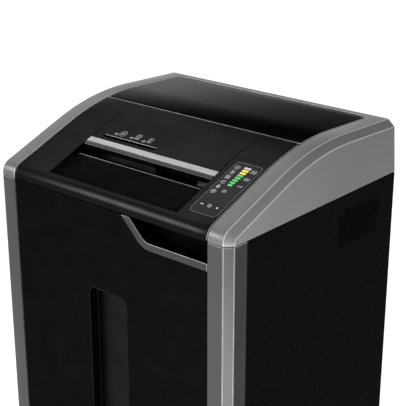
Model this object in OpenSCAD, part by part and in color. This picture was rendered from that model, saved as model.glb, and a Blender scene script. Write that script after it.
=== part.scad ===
// Free-standing office paper shredder with a pull-out waste bin.
// X runs along the front, +Y towards the back, +Z up; the origin is on the
// floor under the middle of the cabinet. Millimetres.

/* [Cabinet] */
// Width across the side panels
cabinet_w = 560; // [540:5:640]
// Depth from the corner posts to the rear panel
cabinet_d = 490; // [480:5:560]
// Height of the seam between cabinet and head
seam_h = 910; // [860:10:960]
// Sheet steel of panels, pan and tray
sheet_t = 2; // [1.5:0.1:2.4]
// Seam between the head and what stands under it
seam_gap = 1.5; // [1:0.1:2.5]
// Height of the underside of the base pan
pan_h = 78; // [78:1:90]
// Depth of the base pan
pan_rise = 37; // [30:1:38]

/* [Corner posts] */
// Width of each flat facet of a post
post_face = 32; // [28:1:36]
// Bevel across the corner of post and head
corner_bevel = 13.2; // [10:0.1:16]
// Wall of a post
post_wall = 2.5; // [2:0.1:3]
// Depth of the return flange that carries rail and tray
post_return = 70; // [60:1:80]

/* [Head] */
// Height of the upright face under the nose
nose_rise = 3.2; // [2:0.1:6]
// Radius of the nose
nose_r = 24; // [18:0.5:28]
// Slope of the feed surface, degrees
slope_angle = 21.36; // [18:0.01:24]
// Depth at which the slope turns into the crown
crown_start = 145; // [135:1:150]
// Radius of the crown
crown_r = 470; // [450:5:500]
// Fall of the top behind the crown, degrees
back_fall = 2; // [1:0.1:3]
// Lean of the back face
back_lean = 12; // [8:0.5:14]
// Wall of the head mouldings
shell_t = 3; // [2.5:0.1:3.5]
// Seam between neighbouring mouldings
shell_gap = 0.5; // [0.3:0.1:0.8]
// Width of the grey strip along the back
rear_strip = 27; // [22:1:32]
// Radius of the inner rear corners of the surround
rear_corner_r = 24; // [16:1:30]
// Depth of the front fascia, nose to rear bar
fascia_d = 248; // [242:1:256]
// Width of the rear bar of the fascia
fascia_bar = 4; // [3:0.5:6]
// Radius of the rear corners of the fascia
fascia_corner_r = 8; // [5:0.5:12]

/* [Feed opening] */
// Fascia between hood and control panel
hood_side = 14; // [12:0.5:18]
// Width of the slanted sides of the scoop
scoop_side = 12; // [9:0.5:16]
// Depth of the scoop under the feed surface
scoop_depth = 9.5; // [7:0.5:11]
// Depth at which the front guide stands
guide_front = 84.5; // [80:0.5:88]
// Height of the guide's bright edge over the seam
guide_top = 45.6; // [43:0.2:47]
// Depth at which the rear guide stands
guide_rear = 103; // [100:0.5:103]
// Thickness of the guide plates
guide_t = 1.5; // [1:0.1:2]
// Front edge of the hood along the slope
hood_front = 94.6; // [94:0.2:96]
// Distance of the sensor strip behind the hood's edge
strip_setback = 9; // [7:0.2:11]
// Width of the sensor strip along the slope
strip_w = 12.6; // [10:0.2:16]
// Thickness of the sensor strip
strip_t = 1.2; // [0.8:0.1:1.6]
// Length of the disc slot
disc_slot_l = 131; // [124:1:140]
// Width of the disc slot
disc_slot_w = 6.5; // [5.5:0.1:8]
// Distance of the disc slot from the hood's left side
disc_slot_side = 22.5; // [14:0.5:24]
// Depth of the disc slot's middle
disc_slot_y = 134; // [131:0.5:137]

/* [Control panel] */
// Fascia between control panel and surround
panel_side = 7.8; // [6:0.1:10]
// Width of the control panel
panel_w = 58; // [50:1:60]
// Front end of the control panel along the slope
panel_start = 14; // [12:1:18]
// Length of the control panel
panel_l = 138; // [130:1:140]
// Corner radius of the control panel
panel_r = 9; // [6:0.5:12]
// Thickness of the control panel
panel_t = 0.8; // [0.6:0.1:1]
// Height the panel stands over the fascia
panel_proud = 0.2; // [0.1:0.05:0.4]
// Place of the lowest lamp along the slope
lamp_start = 93; // [90:1:96]
// Distance from lamp to lamp
lamp_pitch = 6.8; // [6:0.1:7]
// Width of a lamp along the slope
lamp_w = 4.6; // [3.6:0.1:5.2]
// Length of the lowest lamp
lamp_short = 9; // [7:0.5:10]
// Length of the highest lamp
lamp_long = 13.6; // [11:0.1:15]
// Thickness of a lamp window
lamp_t = 0.3; // [0.2:0.05:0.5]
// Distance of the circuit board under the fascia
board_drop = 6; // [5:0.5:8]
// Thickness of the circuit board
board_t = 1.6; // [1.2:0.1:2]

/* [Cutting block] */
// Depth of the nip between the cutters
nip_y = 95; // [94:0.5:96]
// Height of the cutter shafts under the seam
shaft_drop = 45; // [42:1:48]
// Distance between the two shafts
shaft_pitch = 40; // [40:0.5:41]
// Radius of the cutting discs
disc_r = 24; // [22.5:0.5:24.5]
// Radius of the cutter core
core_r = 14; // [12:0.5:14.5]
// Radius of the shaft ends
journal_r = 8; // [6:0.5:9]
// Distance from disc to disc
disc_pitch = 12; // [11.6:0.1:12]
// Width of a disc
disc_w = 5.6; // [5:0.1:5.6]
// Room between the outer discs and the side plates
disc_side = 9; // [8:0.5:20]
// Room between the hood's sides and the cutter side plates
block_side = 10; // [8:0.5:12]
// Thickness of the cutter side plates
block_t = 4; // [3:0.5:5]
// Front edge of the side plates
block_front = 47; // [47:0.5:49]
// Rear edge of the side plates
block_back = 150; // [146:1:152]
// Top of the side plates under the seam
block_top = 6; // [4:1:10]
// Outer radius of the bearings
bearing_r = 16; // [13:0.5:17]
// Width of the bearings
bearing_w = 8; // [6:0.5:9]
// Radial running clearance of shafts and pins
run_fit = 0.05; // [0.02:0.01:0.08]
// Radial clearance of parts seated on or in each other
seat_fit = 0.02; // [0.01:0.01:0.04]

/* [Gear train] */
// Gear module
gear_m = 2.5; // [2.4:0.05:2.5]
// Teeth of each timing gear
timing_teeth = 16; // [16:1:16]
// Teeth of the drive gear on the rear cutter
drive_teeth = 34; // [30:1:36]
// Teeth of the idler gear
idler_teeth = 22; // [20:1:24]
// Teeth of the motor pinion
pinion_teeth = 14; // [13:1:15]
// Pressure angle of the teeth, degrees
pressure_angle = 25; // [22:0.5:26]
// Backlash at the pitch line
backlash = 0.3; // [0.2:0.05:0.4]
// Rise of the line through the gear centres, degrees
train_angle = 15; // [10:1:18]
// Face width of the timing gears
timing_w = 10; // [8:0.5:10]
// Face width of the drive train gears
train_w = 12; // [10:0.5:14]

/* [Motor and fan] */
// Radius of the drive motor
motor_r = 42; // [36:1:44]
// Length of the drive motor
motor_l = 128; // [110:1:140]
// Distance from the timing gears' inner face to the motor mount's outer face
mount_offset = 9; // [8:0.5:10]
// Thickness of the motor mount
mount_t = 4; // [3:0.5:5]
// Side of the square fan frame
fan_size = 80; // [70:1:80]
// Depth of the fan frame
fan_d = 25; // [20:1:28]
// Radius of the fan's opening
fan_bore = 36; // [30:0.5:37]
// Blades of the fan
fan_blades = 7; // [5:1:9]
// Distance of the fan's middle from the back
fan_back = 118; // [110:1:122]

/* [Mechanism tray] */
// Depth of the tray under the seam
tray_drop = 106; // [102:1:112]
// Front edge of the tray
tray_front = 44; // [42:0.5:44.5]
// Height of the tray's front wall
tray_flange = 102; // [40:1:102]

/* [Vents] */
// Number of slots in each side vent
vent_count = 17; // [9:1:21]
// Length of the vent
vent_l = 125; // [100:1:130]
// Height of the vent slots
vent_h = 67; // [50:1:70]
// Width of a vent slot
vent_slot = 3.2; // [2:0.1:3.6]
// Distance of the vent from the back
vent_back = 55; // [45:1:65]
// Top of the vent under the seam
vent_top = 32; // [26:1:36]

/* [Drawer] */
// Thickness of the drawer front
front_t = 18; // [16:0.5:20]
// Set-back of the drawer front behind the posts
front_setback = 1.5; // [1:0.1:3]
// Gap round the drawer front
front_gap = 1.5; // [1:0.1:2.5]
// Gap between drawer front and head
front_top_gap = 3; // [2:0.1:5]
// Bottom of the drawer front
front_bottom = 118; // [118:1:124]
// Skin of the drawer front
front_skin = 3; // [2.5:0.1:4]
// Half width of the handle recess
handle_half = 45.5; // [38:0.5:50]
// Top of the handle recess under the seam
handle_top = 163; // [150:1:175]
// Height of the handle recess
handle_h = 300; // [240:5:320]
// Depth of the handle recess
handle_d = 20.3; // [16:0.1:22]
// Corner radius of the handle recess
handle_r = 15; // [8:0.5:20]
// Wall of the handle cup
cup_t = 2; // [1.5:0.1:3]
// Depth under the seam of the trim's lower edge
notch_drop = 52.4; // [46:0.2:56]
// Length of the notch along the seam, from the trim's edge to the post
notch_span = 197.9; // [175:0.1:214]
// Outer radius of the trim's bend
notch_r = 40; // [30:1:50]
// Width of the trim
trim_w = 13; // [9:0.5:16]
// Seat depth of the trim
trim_seat = 3; // [2:0.1:4]
// Height the trim stands over the drawer front
trim_proud = 0.6; // [0.2:0.1:1]

/* [Waste bin] */
// Room between bin and posts for chassis and rails
bin_side = 22.8; // [21.8:0.1:34]
// Front of the bin
bin_front = 24; // [23:0.5:30]
// Room behind the bin
bin_back = 28; // [26:1:66]
// Room between the bin's rim and the mechanism tray
bin_top = 22; // [14:1:80]
// Wall of the bin
bin_wall = 3; // [2:0.1:4]
// Width of the bin's rim
bin_rim = 1.8; // [1:0.1:1.9]
// Height of the chassis sides
chassis_h = 90; // [80:1:100]
// Plate of the drawer chassis
chassis_t = 2; // [1.5:0.1:2.4]

/* [Rails] */
// Room behind the sliding rail members
rail_back = 38; // [28:1:68]
// Height of the outer rail
rail_h = 48; // [42:1:52]
// Plate of the rails
rail_t = 2; // [1.5:0.1:2.2]
// Gap between the rail members
rail_gap = 0.8; // [0.5:0.1:1]
// Height of the rails' middle
rail_z = 170; // [165:1:180]

/* [Rear lid] */
// Open gap behind the lid
lid_back_gap = 2.4; // [2.3:0.1:3]
// Hinge axis in front of the lid's rear edge
hinge_back = 30; // [26:1:32]
// Hinge axis under the surface
hinge_drop = 6; // [6:0.1:6.5]
// Radius of the hinge pins
hinge_pin_r = 2; // [1.6:0.1:2.2]
// Radius of the knuckles
knuckle_r = 4.5; // [4:0.1:4.8]
// Length of a knuckle
knuckle_l = 20; // [14:1:26]
// Distance of the hinges from the surround
hinge_side = 74.8; // [45:1:95]

/* [Rear power entry] */
// Distance of the power entry from the left post's line
entry_side = 27.8; // [18:1:78]
// Height of the power entry under the seam
entry_drop = 60; // [50:1:70]
// Width of the entry plate
entry_w = 74; // [70:1:80]
// Height of the entry plate
entry_h = 34; // [32:1:40]
// Width of the inlet socket
socket_w = 24.5; // [24.5:0.1:25.5]
// Height of the inlet socket
socket_h = 16.5; // [16.5:0.1:17.5]
// Depth of the inlet socket
socket_d = 17; // [15:0.5:20]
// Width of the switch rocker
rocker_w = 14; // [10:0.5:16]
// Height of the switch rocker
rocker_h = 21; // [18:0.5:24]

/* [Casters] */
// Wheel radius
wheel_r = 30; // [28:0.5:31]
// Wheel width
wheel_w = 22; // [18:0.5:24]
// Trail from swivel to axle
caster_trail = 22; // [18:0.5:24]
// Distance of the casters from the side panels
caster_side = 75; // [70:1:100]
// Distance of the casters from front and rear
caster_inset = 70; // [60:1:90]
// Axle radius
axle_r = 5; // [4:0.5:5.5]

/* [Hidden] */

grey_paint = [0.45, 0.45, 0.46];
gloss_black = [0.08, 0.08, 0.09];
matte_black = [0.06, 0.06, 0.06];
dark_steel = [0.22, 0.22, 0.23];
bright_steel = [0.70, 0.70, 0.72];
brushed_alu = [0.78, 0.79, 0.80];

half_w = cabinet_w / 2;
post_in = half_w - corner_bevel - post_face;      // inner edge of the posts
band_x = half_w - corner_bevel;                   // edge between facet and bevel
post_side_end = corner_bevel + post_face;         // depth of the posts
cabinet_top = seam_h - seam_gap;                  // top of posts, uprights and panels
panel_in = half_w - sheet_t;                      // inner face of the side panels
panel_x = post_in - panel_side - panel_w / 2;     // middle of the control panel
hood_half = panel_x - panel_w / 2 - hood_side;    // half width of hood, strip and scoop
block_half = hood_half + block_side;              // inner face of the cutter side plates
rear_in = cabinet_d - sheet_t;                    // inner face of the rear panel
eps = 0.01;
round_fn = 64;
steps_nose = 10;
steps_crown = 14;

// Side outline of the head, worked out from its arcs
slope_y = nose_r + nose_r * cos(90 + slope_angle);
slope_z = nose_rise + nose_r * sin(90 + slope_angle);
crown_z = slope_z + (crown_start - slope_y) * tan(slope_angle);
crown_c = [crown_start + crown_r * sin(slope_angle), crown_z - crown_r * cos(slope_angle)];

function arc(c, r, a0, a1, n) =
    [for (i = [0:n]) let (a = a0 + (a1 - a0) * i / n) [c[0] + r * cos(a), c[1] + r * sin(a)]];

// Height of the falling top at depth y, under an offset of off
function top_z(y, off = 0) =
    crown_c[1] + (crown_r - off) / cos(back_fall) - (y - crown_c[0]) * tan(back_fall);

function head_outline(off = 0, low = 0, back = 0) = concat(
    [[off, low]],
    arc([nose_r, nose_rise], nose_r - off, 180, 90 + slope_angle, steps_nose),
    arc(crown_c, crown_r - off, 90 + slope_angle, 90 - back_fall, steps_crown),
    [[cabinet_d - back_lean - back, top_z(cabinet_d - back_lean - back, off)],
     [cabinet_d - back, low]]);

// Y runs from the front plane and Z from the floor
module cabinet() translate([0, -cabinet_d / 2, 0]) children();
// Y runs from the front plane and Z from the seam
module head() translate([0, -cabinet_d / 2, seam_h]) children();
// Y runs along the feed slope and Z stands square on it
module slope() head() translate([0, slope_y, slope_z]) rotate([slope_angle, 0, 0]) children();
// Extrudes an outline drawn in Y and Z from x0 to x1
module along_x(x0, x1) translate([x0, 0, 0]) rotate([90, 0, 90]) linear_extrude(x1 - x0) children();
// Extrudes an outline drawn in X and Z from y0 back to y1
module along_y(y0, y1) translate([0, y1, 0]) rotate([90, 0, 0]) linear_extrude(y1 - y0) children();
module both_sides() {
    children();
    mirror([1, 0, 0]) children();
}
module block(low, high) translate(low) cube(high - low);
module rod_x(x0, x1, y, z, r)
    translate([x0, y, z]) rotate([0, 90, 0]) cylinder(r = r, h = x1 - x0, $fn = round_fn);
module rod_y(y0, y1, x, z, r)
    translate([x, y0, z]) rotate([-90, 0, 0]) cylinder(r = r, h = y1 - y0, $fn = round_fn);
module rod_z(z0, z1, x, y, r) translate([x, y, z0]) cylinder(r = r, h = z1 - z0, $fn = round_fn);

// Rectangle whose four corners can each have a radius: [x0 y0, x1 y0, x1 y1, x0 y1]
module rounded(low, high, r) {
    polygon(concat(
        r[0] > 0 ? arc([low[0] + r[0], low[1] + r[0]], r[0], 180, 270, 8) : [low],
        r[1] > 0 ? arc([high[0] - r[1], low[1] + r[1]], r[1], 270, 360, 8) : [[high[0], low[1]]],
        r[2] > 0 ? arc([high[0] - r[2], high[1] - r[2]], r[2], 0, 90, 8) : [high],
        r[3] > 0 ? arc([low[0] + r[3], high[1] - r[3]], r[3], 90, 180, 8) : [[low[0], high[1]]]));
}

module head_slab(x0, x1, off = 0, low = 0, back = 0)
    along_x(x0, x1) polygon(head_outline(off, low, back));

// Wall of the head from outer offset off to off + t
module head_skin(x0, x1, off, t) along_x(x0, x1) difference() {
    polygon(head_outline(off, 0, off));
    polygon(head_outline(off + t, -1, off + t));
}

// ---------------------------------------------------------------- cabinet

pan_top = pan_h + pan_rise;

module pan_plan(inset = 0) {
    translate([-post_in + inset, sheet_t + inset])
        square([2 * (post_in - inset), rear_in - sheet_t - 2 * inset]);
    translate([-panel_in + inset, post_return + inset])
        square([2 * (panel_in - inset), rear_in - post_return - 2 * inset]);
}

module base_pan() color(matte_black) cabinet() difference() {
    translate([0, 0, pan_h]) linear_extrude(pan_rise) pan_plan();
    translate([0, 0, pan_h + sheet_t]) linear_extrude(pan_rise) pan_plan(sheet_t);
}

module side_panel() cabinet() difference() {
    block([panel_in, post_side_end, pan_h], [half_w, cabinet_d, cabinet_top]);
    vent_y = cabinet_d - vent_back - vent_l;
    vent_step = (vent_l - vent_slot) / (vent_count - 1);
    for (i = [0:vent_count - 1])
        block([panel_in - 1, vent_y + i * vent_step, seam_h - vent_top - vent_h],
              [half_w + 1, vent_y + i * vent_step + vent_slot, seam_h - vent_top]);
}
module right_side_panel() color(matte_black) side_panel();
module left_side_panel() color(matte_black) mirror([1, 0, 0]) side_panel();

screw_r = 2;
screw_head_r = 4;
screw_head_t = 1;
upright_flange = 27;
screw_places = [for (x = [-1, 1], z = [0.08, 0.36, 0.64, 0.92])
    [x * (post_in + upright_flange / 2), pan_h + z * (cabinet_top - pan_h)]];

module rear_panel() color(matte_black) cabinet() difference() {
    block([-panel_in, rear_in, pan_h], [panel_in, cabinet_d, cabinet_top]);
    for (p = screw_places) {
        rod_y(rear_in - 1, cabinet_d + 1, p[0], p[1], screw_r + seat_fit);
        rod_y(cabinet_d - screw_head_t, cabinet_d + 1, p[0], p[1], screw_head_r + seat_fit);
    }
    entry_cutout(seat_fit);
}

module panel_screws() color(bright_steel) cabinet() for (p = screw_places) {
    rod_y(rear_in - sheet_t - 4, cabinet_d - screw_head_t, p[0], p[1], screw_r);
    difference() {
        rod_y(cabinet_d - screw_head_t, cabinet_d, p[0], p[1], screw_head_r);
        block([p[0] - 0.5, cabinet_d - 0.6, p[1] - 3], [p[0] + 0.5, cabinet_d + 1, p[1] + 3]);
        block([p[0] - 3, cabinet_d - 0.6, p[1] - 0.5], [p[0] + 3, cabinet_d + 1, p[1] + 0.5]);
    }
}

// Post of bent sheet: facet, bevel, facet and a return flange
module corner_post() cabinet() translate([0, 0, pan_h]) linear_extrude(cabinet_top - pan_h)
    difference() {
        union() {
            polygon([[post_in, 0], [band_x, 0], [half_w, corner_bevel], [half_w, post_side_end],
                     [post_in, post_side_end]]);
            translate([post_in, 0]) square([post_wall, post_return]);
        }
        bevel_in = post_wall * tan(22.5);
        polygon([[post_in + post_wall, post_wall], [band_x - bevel_in, post_wall],
                 [half_w - post_wall, corner_bevel + bevel_in],
                 [half_w - post_wall, post_side_end - post_wall],
                 [post_in + post_wall, post_side_end - post_wall]]);
    }
module right_corner_post() color(grey_paint) corner_post();
module left_corner_post() color(grey_paint) mirror([1, 0, 0]) corner_post();

upright_d = 48;
module rear_uprights() color(dark_steel) both_sides() cabinet() difference() {
    union() {
        block([post_in, rear_in - upright_d, pan_top], [post_in + sheet_t, rear_in, cabinet_top]);
        block([post_in, rear_in - sheet_t, pan_top], [post_in + upright_flange, rear_in, cabinet_top]);
    }
    for (p = screw_places) rod_y(rear_in - upright_d, rear_in + 1, abs(p[0]), p[1], screw_r + seat_fit);
}

// ---------------------------------------------------------------- mechanism tray

tray_floor = seam_h - tray_drop;
outlet_half = 150;
outlet_front = nip_y - 32;
outlet_back = nip_y + 32;
fan_y = cabinet_d - fan_back;
fan_z = tray_floor + fan_size / 2 + 2;

module mechanism_tray() color(dark_steel) cabinet() difference() {
    union() {
        block([-post_in, tray_front, tray_floor - sheet_t], [post_in, rear_in, tray_floor]);
        block([-post_in, tray_front, tray_floor - sheet_t],
              [post_in, tray_front + sheet_t, tray_floor + tray_flange]);
        both_sides() {
            block([post_in - sheet_t, tray_front, tray_floor - sheet_t], [post_in, rear_in, seam_h]);
            block([post_in - sheet_t, tray_front, cabinet_top], [post_in + post_wall, rear_in, seam_h]);
        }
    }
    block([-outlet_half, outlet_front, tray_floor - sheet_t - 1], [outlet_half, outlet_back, tray_floor + 1]);
    rod_x(post_in - sheet_t - 1, post_in + 1, fan_y, fan_z, fan_bore);
}

// ---------------------------------------------------------------- rails

module rail_section(web0, web1, reach, h) {
    translate([web0, rail_z - h / 2]) square([web1 - web0, h]);
    for (s = [-1, 1]) translate([min(web0, reach), rail_z + s * (h / 2 - rail_t / 2) - rail_t / 2])
        square([max(web1, reach) - min(web0, reach), rail_t]);
}
bin_w = 2 * (post_in - bin_side);
rail_front = bin_front - 2;
rail_l = cabinet_d - rail_back - rail_front;
outer_web = post_in - rail_t;
mid_web = outer_web - rail_gap - rail_t;
inner_reach = mid_web - rail_gap;
chassis_half = bin_w / 2 + 4;
mid_h = rail_h - 2 * rail_t - 2 * rail_gap + rail_t;
inner_h = mid_h - 2 * rail_t - 2 * rail_gap;
rail_mouth = chassis_half + rail_t + 4;

module outer_rails() color(bright_steel) both_sides() cabinet()
    along_y(rail_front, rear_in - 10) rail_section(outer_web, post_in, rail_mouth, rail_h + rail_t);
module mid_rails() color(bright_steel) both_sides() cabinet()
    along_y(rail_front, rail_front + rail_l) rail_section(mid_web, mid_web + rail_t, rail_mouth, mid_h);
module inner_rails() color(bright_steel) both_sides() cabinet()
    along_y(rail_front, rail_front + rail_l)
        rail_section(chassis_half, chassis_half + rail_t, inner_reach, inner_h);

// ---------------------------------------------------------------- head mouldings

strip_inner_y = cabinet_d - rear_strip;           // front edge of the rear strip
lid_front = fascia_d + shell_gap;
lid_back = strip_inner_y - lid_back_gap;
hinge_x = post_in - hinge_side;
hinge_y = lid_back - hinge_back;
hinge_z = top_z(hinge_y) - hinge_drop;
fascia_half = post_in - shell_gap;

module bevelled_head(wall) hull() {
    head_slab(-band_x + wall * tan(22.5), band_x - wall * tan(22.5), wall, wall > 0 ? -1 : 0, wall);
    head_slab(-half_w + wall, half_w - wall, corner_bevel + wall * tan(67.5) * tan(22.5),
              wall > 0 ? -1 : 0, wall);
}

ear_t = 5;
ear_gap = 0.5;
ear_arm = 8;
ear_top = hinge_z - hinge_back - 4;               // arm passes under the swing of the lid's rear edge
ear_end = cabinet_d - back_lean * ear_top / top_z(cabinet_d - back_lean) - shell_t / 2; // in the back wall
module head_surround() color(grey_paint) head() {
    difference() {
        bevelled_head(0);
        bevelled_head(shell_t);
        linear_extrude(seam_h)
            rounded([-post_in, -1], [post_in, strip_inner_y], [0, 0, rear_corner_r, rear_corner_r]);
    }
    both_sides() {
        // inner wall of the cheek
        intersection() {
            head_slab(post_in, post_in + shell_t);
            block([post_in, 0, 0], [half_w, strip_inner_y + shell_t, 2 * crown_z]);
        }
        // locating flange inside the side panel
        block([panel_in - shell_t, post_return, -12], [panel_in, rear_in - sheet_t - 8, shell_t]);
        block([panel_in - shell_t, post_return, eps], [half_w - 1, rear_in - sheet_t - 8, shell_t]);
        // hinge ears on the back wall
        for (s = [-1, 1]) difference() {
            translate([hinge_x + s * (knuckle_l / 2 + ear_gap + ear_t / 2) - ear_t / 2, 0, 0])
                along_x(0, ear_t) polygon([[hinge_y - 4, hinge_z + 2.4], [hinge_y + 1.5, hinge_z + 2.4],
                    [hinge_y + 1.5, ear_top], [ear_end, ear_top], [ear_end, ear_top - ear_arm],
                    [hinge_y - 4, ear_top - ear_arm]]);
            rod_x(0, half_w, hinge_y, hinge_z, hinge_pin_r + seat_fit);
        }
    }
}

rib_t = 2.5;
rib_front = lid_front + 12;
module rear_lid() color(gloss_black) head() difference() {
    union() {
        intersection() {
            head_skin(-fascia_half, fascia_half, 0, shell_t);
            linear_extrude(seam_h) rounded([-fascia_half, lid_front], [fascia_half, lid_back],
                [0, 0, rear_corner_r, rear_corner_r]);
        }
        // stiffening walls under the rim
        intersection() {
            head_skin(-fascia_half, fascia_half, shell_t / 2, 10);
            union() {
                both_sides() block([fascia_half - 1 - rib_t, rib_front, 0],
                                   [fascia_half - 1, hinge_y - 4, seam_h]);
                block([1 - fascia_half, rib_front, 0], [fascia_half - 1, rib_front + rib_t, seam_h]);
            }
        }
        both_sides() rod_x(hinge_x - knuckle_l / 2, hinge_x + knuckle_l / 2, hinge_y, hinge_z, knuckle_r);
    }
    both_sides() rod_x(hinge_x - knuckle_l, hinge_x + knuckle_l, hinge_y, hinge_z, hinge_pin_r + run_fit);
}

module lid_pins() color(bright_steel) head() both_sides()
    rod_x(hinge_x - knuckle_l / 2 - ear_gap - ear_t, hinge_x + knuckle_l / 2 + ear_gap + ear_t,
          hinge_y, hinge_z, hinge_pin_r);

hood_front_y = slope_y + hood_front * cos(slope_angle);
hood_back_y = fascia_d - fascia_bar - shell_gap;
mouth_half = hood_half + shell_gap;               // half width of the opening in the fascia
scoop_half = hood_half - scoop_side;
ledge_w = 5;
scoop_foot = 14;                                  // where the scoop's front slope meets its floor
lip_n = -7.7;                                     // height of the shelf's rear end
lip_y = guide_front - 0.1;
// Distance along the slope of the point at depth y and height n over the slope
function along_slope(y, n) = (y - slope_y + n * sin(slope_angle)) / cos(slope_angle);
lip_s = along_slope(lip_y, lip_n);
wall_s = lip_s - 12;                              // where the slanted scoop walls end

module fascia_plan() difference() {
    rounded([-fascia_half, -1], [fascia_half, fascia_d], [0, 0, fascia_corner_r, fascia_corner_r]);
    translate([-mouth_half, slope_y - 1]) square([2 * mouth_half, fascia_d - fascia_bar - slope_y + 1]);
}

// Floor of the scoop along the slope: a soft ridge behind the nose, then the shelf
ridge_r = 6;
module scoop_section() polygon(concat(
    [[-2, -shell_t - 0.5], [-2, -0.35]], arc([0, -ridge_r], ridge_r, 90, 38, 5),
    [[scoop_foot - 3, 1.2 - scoop_depth], [scoop_foot + 3, -scoop_depth], [lip_s, lip_n],
     [along_slope(lip_y, lip_n - shell_t), lip_n - shell_t], [scoop_foot, -scoop_depth - shell_t], [6, -8]]));

module front_fascia() color(gloss_black) {
    head() difference() {
        intersection() {
            head_skin(-fascia_half, fascia_half, 0, shell_t);
            linear_extrude(seam_h) fascia_plan();
            block([-half_w, 0, 0], [half_w, fascia_d, seam_h]);
        }
        translate([0, slope_y, slope_z]) rotate([slope_angle, 0, 0]) panel_pocket();
    }
    slope() {
        along_x(-mouth_half - 1, mouth_half + 1) scoop_section();
        both_sides() {
            // slanted side of the scoop
            along_y(0, wall_s) polygon([[scoop_half, -scoop_depth - shell_t], [scoop_half, 0.5 - scoop_depth],
                [mouth_half, 0], [mouth_half + shell_t, -0.5],
                [mouth_half + shell_t, -scoop_depth - shell_t]]);
            // upright side of the throat
            block([mouth_half, wall_s - 1, -26], [mouth_half + shell_t, hood_front + 6, -1]);
        }
    }
    head() both_sides() {
        // ledge that carries the hood
        intersection() {
            head_skin(hood_half - ledge_w, mouth_half + shell_t, shell_t, 2.5);
            block([0, hood_front_y + 10, 0], [half_w, fascia_d - 1, seam_h]);
        }
        intersection() {
            head_skin(mouth_half, mouth_half + shell_t, shell_t / 2, shell_t);
            block([0, hood_front_y + 10, 0], [half_w, fascia_d - 1, seam_h]);
        }
        // rib that stands on the tray
        intersection() {
            head_slab(fascia_half - 4, fascia_half, shell_t / 2);
            block([0, tray_front, 0], [half_w, fascia_d - 30, seam_h]);
        }
    }
    // ledge under the front edge of the lid
    head() intersection() {
        union() {
            head_skin(-fascia_half + 5, fascia_half - 5, shell_t + 0.4, 2.5);
            intersection() {
                head_skin(-fascia_half + 5, fascia_half - 5, shell_t / 2, 3);
                block([-half_w, fascia_d - fascia_bar, 0], [half_w, fascia_d, seam_h]);
            }
        }
        block([-half_w, fascia_d - fascia_bar, 0], [half_w, fascia_d + 8, seam_h]);
    }
}

// Hood between the seams, with its lip over the throat
module throat_hood() color(gloss_black) {
    head() difference() {
        intersection() {
            head_skin(-hood_half, hood_half, 0, shell_t);
            block([-hood_half, hood_front_y, 0], [hood_half, hood_back_y, seam_h]);
        }
        translate([0, slope_y, slope_z]) rotate([slope_angle, 0, 0]) strip_pocket();
        disc_cut();
    }
    slope() along_x(-hood_half, hood_half) polygon(concat(
        arc([hood_front + 3, -3], 3, 180, 90, 5),
        [[hood_front + 5, -1], [hood_front + 5, -13], [hood_front + 2, -14], [hood_front, -8]]));
}

disc_slot_left = disc_slot_side - hood_half;
disc_slot_right = disc_slot_left + disc_slot_l;
module disc_cut() block([disc_slot_left, disc_slot_y - disc_slot_w / 2, 0],
                        [disc_slot_right, disc_slot_y + disc_slot_w / 2, seam_h]);

strip_front = hood_front + strip_setback;
module strip_pocket() block([-hood_half - 1, strip_front - 0.1, -strip_t - seat_fit],
                            [hood_half + 1, strip_front + strip_w + 0.1, shell_t]);
module sensor_strip() color(brushed_alu) slope()
    block([-hood_half, strip_front, -strip_t], [hood_half, strip_front + strip_w, 0]);

// Guide plates that lead paper and discs down to the cutters
guide_low = -shaft_drop + disc_r + 2;
guide_neck = 14;
chute_top = 56;
module guide_outline(top) {
    translate([-block_half, guide_low]) square([2 * block_half, guide_neck - guide_low]);
    translate([0.5 - hood_half, guide_neck - 1]) square([2 * hood_half - 1, top - guide_neck + 1]);
}
module entry_guides() color(bright_steel) head() {
    along_y(guide_front, guide_front + guide_t) guide_outline(guide_top);
    along_y(guide_rear, guide_rear + guide_t) difference() {
        guide_outline(guide_top - 6);
        translate([disc_slot_left - 4, guide_low - 1])
            square([disc_slot_l + 8, guide_neck - guide_low - 5]);
    }
    chute_y = disc_slot_y + disc_slot_w / 2 + 1;
    chute_foot = guide_rear + guide_t + 4;
    along_x(-block_half, disc_slot_right + 4) polygon([[chute_y, chute_top], [chute_y + guide_t, chute_top],
        [chute_foot + guide_t, guide_low + 4], [chute_foot, guide_low + 4]]);
}

// ---------------------------------------------------------------- control panel

module panel_outline(grow = 0) rounded([panel_x - panel_w / 2 - grow, panel_start - grow],
    [panel_x + panel_w / 2 + grow, panel_start + panel_l + grow], [for (i = [0:3]) panel_r + grow]);
module panel_pocket() translate([0, 0, panel_proud - panel_t]) linear_extrude(20) panel_outline(0.15);
module control_overlay() color(gloss_black) slope()
    translate([0, 0, panel_proud - panel_t]) linear_extrude(panel_t) panel_outline();

green_count = 5;
amber_count = 2;
lamp_count = green_count + amber_count + 1;
module lamps(from, to) slope() for (i = [from:to]) {
    l = lamp_short + (lamp_long - lamp_short) * i / (lamp_count - 1);
    s = lamp_start + i * lamp_pitch;
    block([panel_x - l / 2, s - lamp_w / 2, panel_proud],
          [panel_x + l / 2, s + lamp_w / 2, panel_proud + lamp_t]);
}
module green_lamps() color([0.2, 0.75, 0.3]) lamps(0, green_count - 1);
module amber_lamps() color([0.95, 0.85, 0.15]) lamps(green_count, green_count + amber_count - 1);

button_s = 35.5;
button_pitch = 16;
reverse_bar = [7, 2.2];
power_ring = [4, 2.8];
forward_r = 2.2;
// White windows: the top lamp and the touch marks for reverse, power and forward
module white_lamps() color([0.95, 0.95, 0.95]) {
    lamps(lamp_count - 1, lamp_count - 1);
    slope() translate([panel_x, button_s, panel_proud]) linear_extrude(lamp_t) {
        translate([-button_pitch, 0]) square(reverse_bar, center = true);
        difference() {
            circle(r = power_ring[0], $fn = 48);
            circle(r = power_ring[1], $fn = 48);
        }
        translate([button_pitch, 0]) circle(r = forward_r, $fn = 48);
    }
}

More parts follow.
